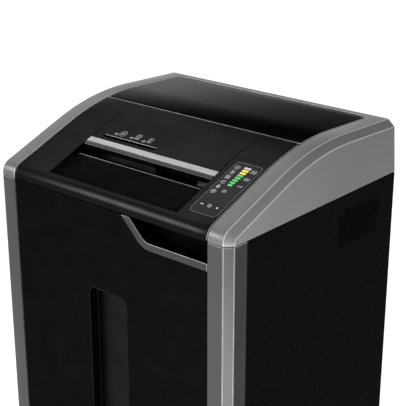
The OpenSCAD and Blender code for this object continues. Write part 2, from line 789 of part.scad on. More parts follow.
board_margin = 5;
module control_board() color([0.05, 0.25, 0.12]) slope() {
    low = -shell_t - board_drop - board_t;
    block([panel_x - panel_w / 2 + board_margin, panel_start + 2, low],
          [panel_x + panel_w / 2 - board_margin, panel_start + panel_l - 10, low + board_t]);
    for (x = [-18, 18], s = [12, panel_l - 30])
        rod_z(low + board_t, -shell_t, panel_x + x, panel_start + s, 3);
}

// ---------------------------------------------------------------- oil supply

tank_size = [96, 130, 150];
tank_side = 8.8;
tank_back = 55;
tank_x = tank_side + tank_size[0] / 2 - post_in;
tank_y = cabinet_d - tank_back - tank_size[1] / 2;
tank_wall = 2;
neck_r = 14;
neck_h = 10;
cap_r = 18;
cap_h = 16;
module oil_tank() color([0.85, 0.85, 0.80]) cabinet() difference() {
    union() {
        translate([tank_x, tank_y, tray_floor]) linear_extrude(tank_size[2])
            rounded(-[tank_size[0], tank_size[1]] / 2, [tank_size[0], tank_size[1]] / 2, [8, 8, 8, 8]);
        rod_z(tray_floor + tank_size[2] - eps, tray_floor + tank_size[2] + neck_h, tank_x, tank_y, neck_r);
    }
    translate([tank_x, tank_y, tray_floor + tank_wall]) linear_extrude(tank_size[2] - 2 * tank_wall)
        rounded(-[tank_size[0], tank_size[1]] / 2 + [tank_wall, tank_wall],
                [tank_size[0], tank_size[1]] / 2 - [tank_wall, tank_wall], [6, 6, 6, 6]);
    rod_z(tray_floor + tank_size[2] - 10, seam_h + 200, tank_x, tank_y, neck_r - tank_wall);
}
module oil_cap() color([0.10, 0.10, 0.10]) cabinet() {
    cap_low = tray_floor + tank_size[2] + neck_h;
    difference() {
        rod_z(cap_low - neck_h + 1, cap_low + cap_h - neck_h + 4, tank_x, tank_y, cap_r);
        rod_z(cap_low - neck_h, cap_low, tank_x, tank_y, neck_r + seat_fit);
        for (a = [0:20:340]) translate([tank_x, tank_y, cap_low - neck_h]) rotate(a)
            translate([cap_r + 0.4, 0, 0]) cylinder(r = 1.3, h = cap_h + 20, $fn = 16);
    }
}

// ---------------------------------------------------------------- cutting block

front_shaft_y = nip_y - shaft_pitch / 2;
rear_shaft_y = nip_y + shaft_pitch / 2;
shaft_z = -shaft_drop;
core_half = block_half - 5;
disc_count = 2 * floor((block_half - disc_side - disc_w / 2) / disc_pitch - 0.5) + 1;
timing_x = block_half + block_t + 4;
mount_x = timing_x + mount_offset;
train_x = timing_x + timing_w + 3;
journal_front = timing_x + timing_w + 1;
journal_rear = train_x + train_w + 2;

module cutter(count, y, journal_end) head() translate([0, y, shaft_z]) rotate([0, 90, 0]) {
    translate([0, 0, -core_half]) cylinder(r = core_r, h = 2 * core_half, $fn = round_fn);
    translate([0, 0, -block_half - block_t - 2])
        cylinder(r = journal_r, h = block_half + block_t + 2 + journal_end, $fn = round_fn);
    for (i = [0:count - 1]) translate([0, 0, (i - (count - 1) / 2) * disc_pitch - disc_w / 2])
        cylinder(r = disc_r, h = disc_w, $fn = round_fn);
}
module front_cutter() color(bright_steel) cutter(disc_count, front_shaft_y, journal_front);
module rear_cutter() color(bright_steel) cutter(disc_count + 1, rear_shaft_y, journal_rear);

tie_r = 5;
tie_places = [[block_front + 7, 11 - tray_drop], [block_back - 9, 11 - tray_drop],
    [block_back - 6, -block_top - 7]];
module cutter_frame() color(dark_steel) head() {
    both_sides() difference() {
        block([block_half, block_front, -tray_drop], [block_half + block_t, block_back, -block_top]);
        for (y = [front_shaft_y, rear_shaft_y])
            rod_x(block_half - 1, block_half + block_t + 1, y, shaft_z, bearing_r + seat_fit);
    }
    for (p = tie_places) rod_x(-block_half - eps, block_half + eps, p[0], p[1], tie_r);
}

module cutter_bearings() color(bright_steel) head() both_sides()
    for (y = [front_shaft_y, rear_shaft_y]) difference() {
        translate([block_half + (block_t - bearing_w) / 2, 0, 0]) rod_x(0, bearing_w, y, shaft_z, bearing_r);
        rod_x(block_half - bearing_w, block_half + 2 * bearing_w, y, shaft_z, journal_r + run_fit);
    }

finger_t = 3;
finger_clear = 1.5;
comb_bar = 4;
comb_h = 18;
module comb(count, y_bar, y_tip) {
    block([-block_half, min(y_bar, y_bar + comb_bar), shaft_z - comb_h / 2],
          [block_half, y_bar + comb_bar, shaft_z + comb_h / 2]);
    for (i = [0:count - 2]) translate([(i - (count - 2) / 2) * disc_pitch - finger_t / 2, 0, 0])
        block([0, min(y_bar + 1, y_tip), shaft_z - comb_h / 2 + 2],
              [finger_t, max(y_bar + comb_bar - 1, y_tip), shaft_z + comb_h / 2 - 2]);
}
module stripper_combs() color(dark_steel) head() {
    comb(disc_count, block_front, front_shaft_y - core_r - finger_clear);
    comb(disc_count + 1, rear_shaft_y + disc_r + 2, rear_shaft_y + core_r + finger_clear);
}

// ---------------------------------------------------------------- gears

gear_add = 0.75;
gear_ded = 1.15;
function involute(rb, r) = let (t = sqrt(max(0, pow(r / rb, 2) - 1))) t * 180 / PI - atan(t);
// Half angle of a tooth at radius r
function tooth_half(n, r) = let (rp = gear_m * n / 2, rb = rp * cos(pressure_angle))
    90 / n - backlash / 4 / rp * 180 / PI + involute(rb, rp) - involute(rb, max(r, rb));
flank_steps = 4;
// Radii at which a flank is drawn, root first
function gear_radii(n) = let (
        rp = gear_m * n / 2,
        root = rp - gear_ded * gear_m,
        tip = rp + gear_add * gear_m,
        start = max(root + 0.3, rp * cos(pressure_angle)))
    concat([root], [for (i = [0:flank_steps]) start + (tip - start) * i / flank_steps]);
function gear_points(n, phase) = let (radii = gear_radii(n), last = flank_steps + 1)
    [for (k = [0:n - 1], side = [-1, 1], i = [0:last])
        let (r = radii[side < 0 ? i : last - i], a = phase + k * 360 / n + side * tooth_half(n, r))
            [r * cos(a), r * sin(a)]];
// Phase of gear b that meshes with gear a along the direction dir
function mesh_phase(phase_a, teeth_a, teeth_b, dir) =
    dir + 180 - teeth_a / teeth_b * (phase_a - dir) - 180 / teeth_b;
function step(c, na, nb, dir) = c + gear_m * (na + nb) / 2 * [cos(dir), sin(dir)];

timing_phase = 0;
drive_phase = train_angle;
idler_phase = mesh_phase(drive_phase, drive_teeth, idler_teeth, train_angle);
pinion_phase = mesh_phase(idler_phase, idler_teeth, pinion_teeth, train_angle);
idler_c = step([rear_shaft_y, shaft_z], drive_teeth, idler_teeth, train_angle);
pinion_c = step(idler_c, idler_teeth, pinion_teeth, train_angle);

module gear(teeth, phase, c, x0, w, bore)
    head() translate([x0, c[0], c[1]]) rotate([90, 0, 90]) difference() {
        linear_extrude(w) polygon(gear_points(teeth, phase));
        translate([0, 0, -1]) cylinder(r = bore, h = w + 2, $fn = round_fn);
    }
module front_timing_gear() color(bright_steel)
    gear(timing_teeth, timing_phase, [front_shaft_y, shaft_z], timing_x, timing_w, journal_r + seat_fit);
module rear_timing_gear() color(bright_steel)
    gear(timing_teeth, mesh_phase(timing_phase, timing_teeth, timing_teeth, 0), [rear_shaft_y, shaft_z],
         timing_x, timing_w, journal_r + seat_fit);
module drive_gear() color(bright_steel)
    gear(drive_teeth, drive_phase, [rear_shaft_y, shaft_z], train_x, train_w, journal_r + seat_fit);
stub_r = 6;
module idler_gear() color(bright_steel)
    gear(idler_teeth, idler_phase, idler_c, train_x, train_w, stub_r + run_fit);
motor_shaft_r = 6;
module motor_pinion() color(bright_steel) {
    gear(pinion_teeth, pinion_phase, pinion_c, train_x, train_w, motor_shaft_r - 1);
    head() rod_x(mount_x - mount_t - 20, train_x + train_w, pinion_c[0], pinion_c[1], motor_shaft_r - 1);
}

module drive_motor() color([0.30, 0.31, 0.33]) head() difference() {
    union() {
        rod_x(mount_x - mount_t - motor_l, mount_x - mount_t, pinion_c[0], pinion_c[1], motor_r);
        for (a = [0:30:330]) translate([mount_x - mount_t - motor_l + 14, pinion_c[0], pinion_c[1]])
            rotate([a, 0, 0]) block([0, motor_r - 1, -1.5], [motor_l - 34, motor_r + 2.5, 1.5]);
    }
    rod_x(mount_x - mount_t - 22, mount_x, pinion_c[0], pinion_c[1], motor_shaft_r - 1 + run_fit);
}

module motor_mount() color(dark_steel) head() {
    difference() {
        block([mount_x - mount_t, block_back + 8, -tray_drop],
              [mount_x, pinion_c[0] + motor_r + 4, pinion_c[1] + motor_r + 4]);
        rod_x(mount_x - mount_t - 1, mount_x + 1, pinion_c[0], pinion_c[1], motor_shaft_r + 4);
    }
    rod_x(mount_x - eps, train_x + train_w + 1, idler_c[0], idler_c[1], stub_r);
    // cradle under the far end of the motor
    difference() {
        block([mount_x - mount_t - motor_l, pinion_c[0] - 24, -tray_drop],
              [mount_x - mount_t - motor_l + 10, pinion_c[0] + 24, pinion_c[1] - 20]);
        rod_x(mount_x - mount_t - motor_l - 1, mount_x, pinion_c[0], pinion_c[1], motor_r + seat_fit);
    }
}

can_r = 20;
can_h = 84;
can_gap = 20;
can_back = 190;
can_tab = [2, 6, 8];
can_tab_pitch = 12;
module motor_capacitor() color([0.75, 0.76, 0.78]) cabinet()
    translate([mount_x - mount_t - motor_l - can_gap - can_r, cabinet_d - can_back, tray_floor]) {
        cylinder(r = can_r, h = can_h, $fn = round_fn);
        for (x = [-1, 1]) translate([x * can_tab_pitch / 2 - can_tab[0] / 2, -can_tab[1] / 2, can_h])
            cube(can_tab);
    }

// ---------------------------------------------------------------- fan

fan_x = post_in - sheet_t - fan_d;
fan_hub = 14;
fan_boss = 10;
fan_pin = 2.5;
module fan_frame() color(matte_black) cabinet() {
    difference() {
        block([fan_x, fan_y - fan_size / 2, fan_z - fan_size / 2],
              [fan_x + fan_d, fan_y + fan_size / 2, fan_z + fan_size / 2]);
        difference() {
            rod_x(fan_x - 1, fan_x + fan_d + 1, fan_y, fan_z, fan_bore);
            rod_x(fan_x - 1, fan_x + 3, fan_y, fan_z, fan_boss);
            for (a = [0:120:240]) translate([fan_x - 1, fan_y, fan_z]) rotate([a, 0, 0])
                block([0, 0, -2], [4, fan_bore + 1, 2]);
        }
    }
    rod_x(fan_x + 3 - eps, fan_x + fan_d - 5, fan_y, fan_z, fan_pin);
}
module fan_rotor() color(matte_black) cabinet() difference() {
    union() {
        rod_x(fan_x + 4, fan_x + fan_d - 3, fan_y, fan_z, fan_hub);
        for (i = [0:fan_blades - 1]) translate([fan_x + fan_d / 2 + 0.5, fan_y, fan_z])
            rotate([i * 360 / fan_blades, 0, 0]) translate([0, 0, fan_hub - 1.5]) rotate([0, 0, 40])
                block([-9, -0.9, 0], [9, 0.9, fan_bore - fan_hub - 1]);
    }
    rod_x(fan_x, fan_x + fan_d - 4, fan_y, fan_z, fan_pin + run_fit);
}

// ---------------------------------------------------------------- power entry

entry_x = entry_side + entry_w / 2 - post_in;
entry_z = seam_h - entry_drop;
socket_x = entry_x - entry_w / 2 + 8 + socket_w / 2 + 1.5;
rocker_x = entry_x + entry_w / 2 - 8 - rocker_w / 2 - 2;
entry_wall = 1.5;
entry_lip = 4;
module entry_cutout(grow) block([entry_x - entry_w / 2 - grow, rear_in - 1, entry_z - entry_h / 2 - grow],
                                [entry_x + entry_w / 2 + grow, cabinet_d + 1, entry_z + entry_h / 2 + grow]);
// Panel insert with the inlet socket, its three pins and the switch frame
module power_entry() color([0.10, 0.10, 0.11]) cabinet() {
    body_front = cabinet_d - socket_d - entry_wall - 1;
    rocker_back = cabinet_d - 12;
    difference() {
        union() {
            block([entry_x - entry_w / 2, rear_in, entry_z - entry_h / 2],
                  [entry_x + entry_w / 2, cabinet_d, entry_z + entry_h / 2]);
            block([entry_x - entry_w / 2 + entry_lip, body_front, entry_z - entry_h / 2 + entry_lip],
                  [entry_x + entry_w / 2 - entry_lip, cabinet_d - eps, entry_z + entry_h / 2 - entry_lip]);
        }
        // socket with two cut corners
        along_y(cabinet_d - socket_d, cabinet_d + 1) translate([socket_x, entry_z]) polygon([
            [-socket_w / 2, -socket_h / 2], [socket_w / 2, -socket_h / 2],
            [socket_w / 2, socket_h / 2 - 4], [socket_w / 2 - 4, socket_h / 2],
            [4 - socket_w / 2, socket_h / 2], [-socket_w / 2, socket_h / 2 - 4]]);
        block([rocker_x - rocker_w / 2 - 0.4, rocker_back, entry_z - rocker_h / 2 - 0.6],
              [rocker_x + rocker_w / 2 + 0.4, cabinet_d + 1, entry_z + rocker_h / 2 + 0.6]);
        for (x = [-1, 1]) rod_y(rear_in - 1, cabinet_d + 1, entry_x + x * (entry_w / 2 - 2.6), entry_z, 1.6);
    }
    for (p = [[-7, 0], [7, 0], [0, 4]])
        block([socket_x + p[0] - 1, cabinet_d - socket_d - eps, entry_z + p[1] - 2],
              [socket_x + p[0] + 1, cabinet_d - 2, entry_z + p[1] + 2]);
    rod_x(rocker_x - rocker_w / 2 - 1, rocker_x + rocker_w / 2 + 1, rocker_axis_y, entry_z, rocker_pin_r);
}
rocker_pin_r = 1.5;
rocker_axis_y = cabinet_d - 6.5;
// Rocker with two shallow faces, the lower one pressed at rest
module switch_rocker() color([0.07, 0.07, 0.08]) cabinet() difference() {
    along_x(rocker_x - rocker_w / 2, rocker_x + rocker_w / 2) polygon([
        [rocker_axis_y + 1.8, entry_z - rocker_h / 2 + 0.2], [rocker_axis_y + 3.6, entry_z],
        [rocker_axis_y + 5.8, entry_z + rocker_h / 2 - 0.6],
        [rocker_axis_y + 1, entry_z + rocker_h / 2 - 0.2],
        [rocker_axis_y - 3, entry_z + 3], [rocker_axis_y - 3, entry_z - 3]]);
    rod_x(rocker_x - rocker_w, rocker_x + rocker_w, rocker_axis_y, entry_z, rocker_pin_r + run_fit);
}

sensor_x = -60;
sensor_half = 15;
module drawer_sensor() color(matte_black) head()
    block([sensor_x - sensor_half, tray_front - 14, 12 - tray_drop],
          [sensor_x + sensor_half, tray_front, 34 - tray_drop]);

// ---------------------------------------------------------------- drawer

front_half = post_in - front_gap;
front_top = seam_h - front_top_gap;
front_back = front_setback + front_t;
notch_x = post_in - notch_span;
notch_c = [notch_x + notch_r * (sqrt(2) - 1) + notch_drop, notch_r - notch_drop];

// Outline of the notch at the top right, off inside the trim's outer edge
function notch_points(off) = concat([[notch_x + off * sqrt(2) - 10, 10]],
    arc(notch_c, notch_r - off, 225, 270, 8), [[post_in + 20, off - notch_drop], [post_in + 20, 10]]);
module notch(off) translate([0, seam_h]) polygon(notch_points(off));
module handle_outline(grow) rounded([-handle_half - grow, seam_h - handle_top - handle_h - grow],
    [handle_half + grow, seam_h - handle_top + grow], [for (i = [0:3]) handle_r + grow]);

cup_seat = cup_t + 0.2;
module drawer_front() color(gloss_black) cabinet() difference() {
    along_y(front_setback, front_back) difference() {
        translate([-front_half, front_bottom]) square([2 * front_half, front_top - front_bottom]);
        notch(trim_w);
        handle_outline(cup_seat);
    }
    // seat of the trim
    along_y(front_setback - 1, front_setback + trim_seat) notch(0);
    // hollow back
    wall = front_skin + cup_seat + 6;
    pocket_low = front_bottom + 2 * front_skin;
    pocket_high = seam_h - notch_drop - 2 * front_skin;
    along_y(front_setback + front_skin, front_back + 1) {
        translate([-front_half + front_skin, pocket_low])
            square([front_half - handle_half - wall - front_skin, front_top - front_skin - pocket_low]);
        translate([handle_half + wall, pocket_low])
            square([front_half - handle_half - wall - front_skin, pocket_high - pocket_low]);
    }
}

module handle_cup() color(gloss_black) cabinet() difference() {
    along_y(front_setback, front_setback + handle_d + cup_t) handle_outline(cup_t);
    along_y(front_setback - 1, front_setback + handle_d) handle_outline(0);
}

module drawer_trim() color(grey_paint) cabinet()
    along_y(front_setback - trim_proud, front_setback + trim_seat) intersection() {
        difference() {
            notch(0);
            notch(trim_w);
        }
        translate([-front_half, front_bottom]) square([2 * front_half, front_top - front_bottom]);
    }

chassis_low = front_bottom;
module drawer_chassis() color(dark_steel) cabinet() {
    back = bin_front + bin_d + 2 + chassis_t;
    block([-chassis_half, front_back, chassis_low], [chassis_half, back, chassis_low + chassis_t]);
    block([-chassis_half, front_back, chassis_low],
          [chassis_half, front_back + chassis_t, chassis_low + chassis_h]);
    block([-chassis_half, back - chassis_t, chassis_low],
          [chassis_half, back, chassis_low + chassis_h / 2]);
    both_sides() block([chassis_half - chassis_t, front_back, chassis_low],
                       [chassis_half, back, chassis_low + chassis_h]);
}

bin_in = bin_w / 2 - bin_wall;
bin_d = cabinet_d - bin_front - bin_back;
bin_h = seam_h - tray_drop - sheet_t - bin_top - chassis_low - chassis_t;
module waste_bin() color([0.16, 0.16, 0.17]) cabinet() {
    low = chassis_low + chassis_t;
    difference() {
        block([-bin_w / 2, bin_front, low], [bin_w / 2, bin_front + bin_d, low + bin_h]);
        block([-bin_in, bin_front + bin_wall, low + bin_wall],
              [bin_in, bin_front + bin_d - bin_wall, low + bin_h + 1]);
    }
    difference() {
        block([-bin_w / 2 - bin_rim, bin_front - bin_rim, low + bin_h - 8],
              [bin_w / 2 + bin_rim, bin_front + bin_d + bin_rim, low + bin_h]);
        block([1 - bin_w / 2, bin_front + 1, low + bin_h - 9],
              [bin_w / 2 - 1, bin_front + bin_d - 1, low + bin_h + 1]);
    }
}

// ---------------------------------------------------------------- casters

plate_t = 3;
plate_half = 32;
swivel_r = 20;
crown_low = 66;
crown_high = pan_h - plate_t - 1;
fork_gap = 2;
fork_t = 3;
leg_in = wheel_w / 2 + fork_gap;
pedal_y = 30;
pedal_z = 65.5;
pedal_pin_r = 2;
caster_x = half_w - caster_side;
caster_y = [caster_inset, cabinet_d - caster_inset - caster_trail];

module at_caster(side, row) cabinet() translate([side * caster_x, caster_y[row], 0]) children();

module caster_plates() color(bright_steel) for (side = [-1, 1], row = [0, 1]) at_caster(side, row) {
    block([-plate_half, -plate_half, pan_h - plate_t], [plate_half, plate_half, pan_h]);
    rod_z(crown_low - 0.5 - 3, pan_h - plate_t + eps, 0, 0, axle_r);
    rod_z(crown_low - 0.5 - 3, crown_low - 0.5, 0, 0, axle_r + 3);
}

module fork(braked) color(bright_steel) {
    difference() {
        union() {
            rod_z(crown_low, crown_high, 0, 0, swivel_r);
            block([-leg_in - fork_t, -8, crown_low], [leg_in + fork_t, 24, crown_low + 4]);
            for (x = [-leg_in - fork_t, leg_in]) along_x(x, x + fork_t) polygon([[-10, crown_low + 4],
                [pedal_y + 4, crown_low + 4], [pedal_y + 4, pedal_z - 6], [caster_trail + 8, wheel_r - 2],
                [caster_trail + 4, wheel_r - 8], [caster_trail - 4, wheel_r - 8],
                [caster_trail - 9, wheel_r]]);
        }
        rod_z(crown_low - 1, crown_high + 1, 0, 0, axle_r + run_fit);
        rod_x(-leg_in - fork_t - 1, leg_in + fork_t + 1, caster_trail, wheel_r, axle_r + seat_fit);
        block([-leg_in, 12, crown_low - 1], [leg_in, pedal_y + 10, crown_high + 1]);
        rod_x(-leg_in - fork_t - 1, leg_in + fork_t + 1, pedal_y, pedal_z, pedal_pin_r + seat_fit);
    }
    rod_x(-leg_in - fork_t - 1, leg_in + fork_t + 1, caster_trail, wheel_r, axle_r);
    if (braked) rod_x(-leg_in - fork_t - 1, leg_in + fork_t + 1, pedal_y, pedal_z, pedal_pin_r);
}
module front_left_fork() at_caster(-1, 0) fork(true);
module front_right_fork() at_caster(1, 0) fork(true);
module rear_left_fork() at_caster(-1, 1) fork(false);
module rear_right_fork() at_caster(1, 1) fork(false);

tread_r = 4;
// Half section of the wheel on one side, dir being -1 or 1: hub, dished web, rim
function wheel_side(dir) = [[axle_r + run_fit, dir * wheel_w / 2], [12, dir * wheel_w / 2],
    [14, dir * (wheel_w / 2 - 3)], [22, dir * (wheel_w / 2 - 3)], [23, dir * (wheel_w / 2 - 1)]];
function flipped(points) = [for (i = [len(points) - 1:-1:0]) points[i]];
module wheel() color([0.12, 0.12, 0.12]) translate([0, caster_trail, wheel_r]) rotate([0, 90, 0])
    rotate_extrude($fn = 96) polygon(concat(wheel_side(-1),
        arc([wheel_r - tread_r, tread_r - wheel_w / 2], tread_r, 270, 360, 5),
        arc([wheel_r - tread_r, wheel_w / 2 - tread_r], tread_r, 0, 90, 5), flipped(wheel_side(1))));
module front_left_wheel() at_caster(-1, 0) wheel();
module front_right_wheel() at_caster(1, 0) wheel();
module rear_left_wheel() at_caster(-1, 1) wheel();
module rear_right_wheel() at_caster(1, 1) wheel();

pedal_half = leg_in - 0.5;
shoe_gap = 0.4;
module pedal() color([0.55, 0.10, 0.08]) difference() {
    union() {
        rod_x(-pedal_half, pedal_half, pedal_y, pedal_z, 4);
        // shoe that presses on the tyre
        along_x(-pedal_half, pedal_half) polygon(concat(
            [[pedal_y - 3, pedal_z - 2], [pedal_y + 14, pedal_z - 4]],
            arc([caster_trail, wheel_r], wheel_r + shoe_gap, 48, 76, 6)));
        along_x(-pedal_half, pedal_half) polygon([[pedal_y, pedal_z - 2], [pedal_y + 22, pedal_z - 7],
            [pedal_y + 30, pedal_z - 6], [pedal_y + 30, pedal_z - 3], [pedal_y + 22, pedal_z - 3],
            [pedal_y, pedal_z + 3]]);
    }
    rod_x(-leg_in, leg_in, pedal_y, pedal_z, pedal_pin_r + run_fit);
}
module left_brake_pedal() at_caster(-1, 0) pedal();
module right_brake_pedal() at_caster(1, 0) pedal();

base_pan();
left_side_panel();
right_side_panel();
rear_panel();
panel_screws();
left_corner_post();
right_corner_post();
rear_uprights();
mechanism_tray();
outer_rails();
head_surround();
front_fascia();
throat_hood();
sensor_strip();
entry_guides();
control_overlay();
green_lamps();
amber_lamps();
white_lamps();
control_board();
rear_lid();
lid_pins();
oil_tank();
oil_cap();
cutter_frame();
cutter_bearings();
front_cutter();
rear_cutter();
front_timing_gear();
rear_timing_gear();
drive_gear();
idler_gear();
stripper_combs();
drive_motor();
motor_pinion();
motor_mount();
motor_capacitor();
fan_frame();
fan_rotor();
power_entry();
switch_rocker();
drawer_sensor();
drawer_front();
handle_cup();
drawer_trim();
waste_bin();
drawer_chassis();
inner_rails();
mid_rails();
caster_plates();
front_left_fork();
front_right_fork();
rear_left_fork();
rear_right_fork();
front_left_wheel();
front_right_wheel();
rear_left_wheel();
rear_right_wheel();
left_brake_pedal();
right_brake_pedal();
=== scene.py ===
"""Looks of a free-standing office paper shredder: grey frame, gloss black head, drawer and works."""
from math import acos, cos, pi, radians, sin, sqrt, tan

import bmesh
import bpy
from mathutils import Matrix, Vector


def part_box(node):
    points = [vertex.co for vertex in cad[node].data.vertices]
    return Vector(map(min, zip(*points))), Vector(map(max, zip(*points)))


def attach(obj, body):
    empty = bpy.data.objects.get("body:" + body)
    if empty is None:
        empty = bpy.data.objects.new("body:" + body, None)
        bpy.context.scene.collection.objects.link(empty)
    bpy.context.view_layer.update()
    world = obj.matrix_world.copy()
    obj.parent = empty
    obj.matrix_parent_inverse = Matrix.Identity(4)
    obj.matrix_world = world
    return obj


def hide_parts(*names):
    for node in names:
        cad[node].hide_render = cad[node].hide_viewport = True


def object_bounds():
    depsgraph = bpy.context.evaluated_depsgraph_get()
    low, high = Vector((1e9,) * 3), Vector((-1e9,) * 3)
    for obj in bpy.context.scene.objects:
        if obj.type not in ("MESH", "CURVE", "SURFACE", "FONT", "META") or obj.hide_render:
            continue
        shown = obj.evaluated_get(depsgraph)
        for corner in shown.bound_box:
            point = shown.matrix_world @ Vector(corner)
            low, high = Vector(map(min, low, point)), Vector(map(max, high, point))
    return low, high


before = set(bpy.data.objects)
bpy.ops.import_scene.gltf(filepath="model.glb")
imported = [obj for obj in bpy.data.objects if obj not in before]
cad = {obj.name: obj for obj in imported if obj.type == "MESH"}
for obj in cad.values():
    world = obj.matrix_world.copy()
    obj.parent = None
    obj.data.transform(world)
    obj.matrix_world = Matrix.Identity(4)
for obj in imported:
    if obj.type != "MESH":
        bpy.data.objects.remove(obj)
cad_box = [list(corner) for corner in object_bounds()]

# ---------------------------------------------------------------- sizes
# Pieces are drawn in millimetres: Y from the front plane, Z from the head's seam or from the floor.
MM = 0.001
TOUCH, SHARP = 0.01, radians(28)
post_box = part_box("right_corner_post")
HALF_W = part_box("right_side_panel")[1].x / MM
DEPTH = (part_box("rear_panel")[1].y - post_box[0].y) / MM
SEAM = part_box("front_fascia")[0].z / MM
POST_IN = post_box[0].x / MM
POST_LOW, POST_TOP = post_box[0].z / MM, post_box[1].z / MM
TO_CABINET = Matrix.Translation((0, post_box[0].y, 0)) @ Matrix.Scale(MM, 4)
TO_HEAD = TO_CABINET @ Matrix.Translation((0, 0, SEAM))
BEVEL = 13.2
POST_SIDE_END = 45.2
NOSE_R, NOSE_RISE, SLOPE = 24, 3.2, radians(21.36)
CROWN_START, CROWN_R, FALL, LEAN = 145, 470, radians(2), 12
SHELL, GAP = 3, 0.5
SLOPE_Y = NOSE_R - NOSE_R * sin(SLOPE)
SLOPE_Z = NOSE_RISE + NOSE_R * cos(SLOPE)
CROWN_Y = CROWN_START + CROWN_R * sin(SLOPE)
CROWN_Z = SLOPE_Z + (CROWN_START - SLOPE_Y) * tan(SLOPE) - CROWN_R * cos(SLOPE)
FALL_START = CROWN_Y + CROWN_R * sin(FALL)
BACK_EDGE = DEPTH - LEAN
NOSE_LENGTH = NOSE_R * (pi / 2 - SLOPE)
FRONT_EDGE = SLOPE_Y - NOSE_LENGTH - NOSE_RISE
SLOPE_ON_HEAD = Matrix.Translation((0, SLOPE_Y, SLOPE_Z)) @ Matrix.Rotation(SLOPE, 4, "X")
TO_SLOPE = TO_HEAD @ SLOPE_ON_HEAD
HOOD_HALF, MOUTH_HALF, SCOOP_HALF = 155, 155.5, 143
FASCIA_HALF, FASCIA_END = POST_IN - GAP, 248
LID_FRONT, LID_BACK, STRIP_FRONT_Y = 248.5, 460.6, 463
HINGE_Y, HINGE_Z, HINGE_X = 430.6, 98.87, 160
PANEL_X, PANEL_W, PANEL_START, PANEL_L, PANEL_R = 198, 58, 14, 138, 9
PANEL_PROUD, PRINT_T, WINDOW_T, LAMP_T = 0.2, 0.04, 0.3, 0.25
SEAM_ROUND, OPENING_R, FASCIA_R = 1.1, 24, 8
# Widths of the rounds that carry a painted highlight along creases and edges.
POST_HIGHLIGHT_ROUND, CHEEK_HIGHLIGHT_ROUND, SEAM_HIGHLIGHT_ROUND, SLOT_HIGHLIGHT_ROUND = 1.3, 1.2, 0.9, 0.7
SKIN_HALF = FASCIA_HALF - SEAM_ROUND


def top_height(y):
    return CROWN_Z + CROWN_R / cos(FALL) - (y - CROWN_Y) * tan(FALL)


BACK_LENGTH = sqrt(top_height(BACK_EDGE) ** 2 + LEAN ** 2)


def head_point(drawn):
    """Where a point drawn flat lies on the head: x across, y back in plan, z out of the skin.
    In front of the slope y runs on round the nose, behind the back edge it runs down the back."""
    x, y, out = drawn
    if y < SLOPE_Y - NOSE_LENGTH:
        return Vector((x, -out, NOSE_RISE - (SLOPE_Y - NOSE_LENGTH - y)))
    if y < SLOPE_Y:
        angle = pi / 2 + SLOPE + (SLOPE_Y - y) / NOSE_R
        reach = NOSE_R + out
        return Vector((x, NOSE_R + reach * cos(angle), NOSE_RISE + reach * sin(angle)))
    if y < CROWN_START:
        return Vector((x, y - out * sin(SLOPE), SLOPE_Z + (y - SLOPE_Y) * tan(SLOPE) + out * cos(SLOPE)))
    if y < FALL_START:
        angle = acos((y - CROWN_Y) / CROWN_R)
        reach = CROWN_R + out
        return Vector((x, CROWN_Y + reach * cos(angle), CROWN_Z + reach * sin(angle)))
    if y <= BACK_EDGE:
        return Vector((x, y + out * sin(FALL), top_height(y) + out * cos(FALL)))
    down = (y - BACK_EDGE) / BACK_LENGTH
    return Vector((x, BACK_EDGE + LEAN * down + out, top_height(BACK_EDGE) * (1 - down)))


NOSE_STEPS = [SLOPE_Y - NOSE_LENGTH * i / 12 for i in range(13)]
CROWN_STEPS = [CROWN_START + (FALL_START - CROWN_START) * i / 20 for i in range(21)]


# ---------------------------------------------------------------- mesh steps
def points_of(made):
    """The vertices among what an operator made."""
    return [v for v in made if isinstance(v, bmesh.types.BMVert)]


def bevelled(bm, geom, offset, steps, affect="EDGES", clamp=False):
    """Bevels edges or corners by an offset and returns the new faces."""
    return bmesh.ops.bevel(bm, geom=geom, offset=offset, offset_type="OFFSET", segments=steps, profile=0.5,
                           affect=affect, material=-1, clamp_overlap=clamp)["faces"]


def plate(bm, x0, x1, y0, y1, rounds=(), height=0.0):
    """A flat plate; rounds gives (x, y, radius) for corners to be rounded."""
    made = bmesh.ops.create_grid(bm, x_segments=1, y_segments=1, size=0.5)["verts"]
    bmesh.ops.scale(bm, vec=(x1 - x0, y1 - y0, 1), verts=made)
    bmesh.ops.translate(bm, vec=((x0 + x1) / 2, (y0 + y1) / 2, height), verts=made)
    for x, y, radius in rounds:
        corner = min(bm.verts, key=lambda v: (v.co - Vector((x, y, height))).length)
        bevelled(bm, [corner], radius, 10, "VERTICES")


def rounded_plate(bm, x0, x1, y0, y1, radius):
    """A flat plate with four round corners."""
    plate(bm, x0, x1, y0, y1, [(x, y, radius) for x in (x0, x1) for y in (y0, y1)])


def fill_between(bm):
    """Turns outlines that lie in each other into one sheet with holes."""
    bmesh.ops.delete(bm, geom=bm.faces[:], context="FACES_ONLY")
    bmesh.ops.triangle_fill(bm, edges=bm.edges[:], use_beauty=False, use_dissolve=False, normal=(0, 0, 1))
    bmesh.ops.dissolve_limit(bm, angle_limit=TOUCH, verts=bm.verts[:], edges=bm.edges[:])


def cut_across(bm, places, clear_before=False):
    """Cuts through the sheet at each place along Y, and clears what lies before it if asked."""
    for place in places:
        bmesh.ops.bisect_plane(bm, geom=bm.verts[:] + bm.edges[:] + bm.faces[:], dist=1e-5,
                               plane_co=(0, place, 0), plane_no=(0, 1, 0), clear_inner=clear_before)


def rim_of(bm, test):
    """The outer edges of a sheet whose two ends both pass a test on x and y."""
    return [e for e in bm.edges if e.is_boundary and all(test(v.co.x, v.co.y) for v in e.verts)]


def painted_highlight_rounds(bm, edges, offset):
    """Rounds edges and gives the rounds the piece's second finish, a lighter colour that is a painted
    highlight along them.
    """
    for f in bevelled(bm, edges, offset, 3):
        f.material_index = 1


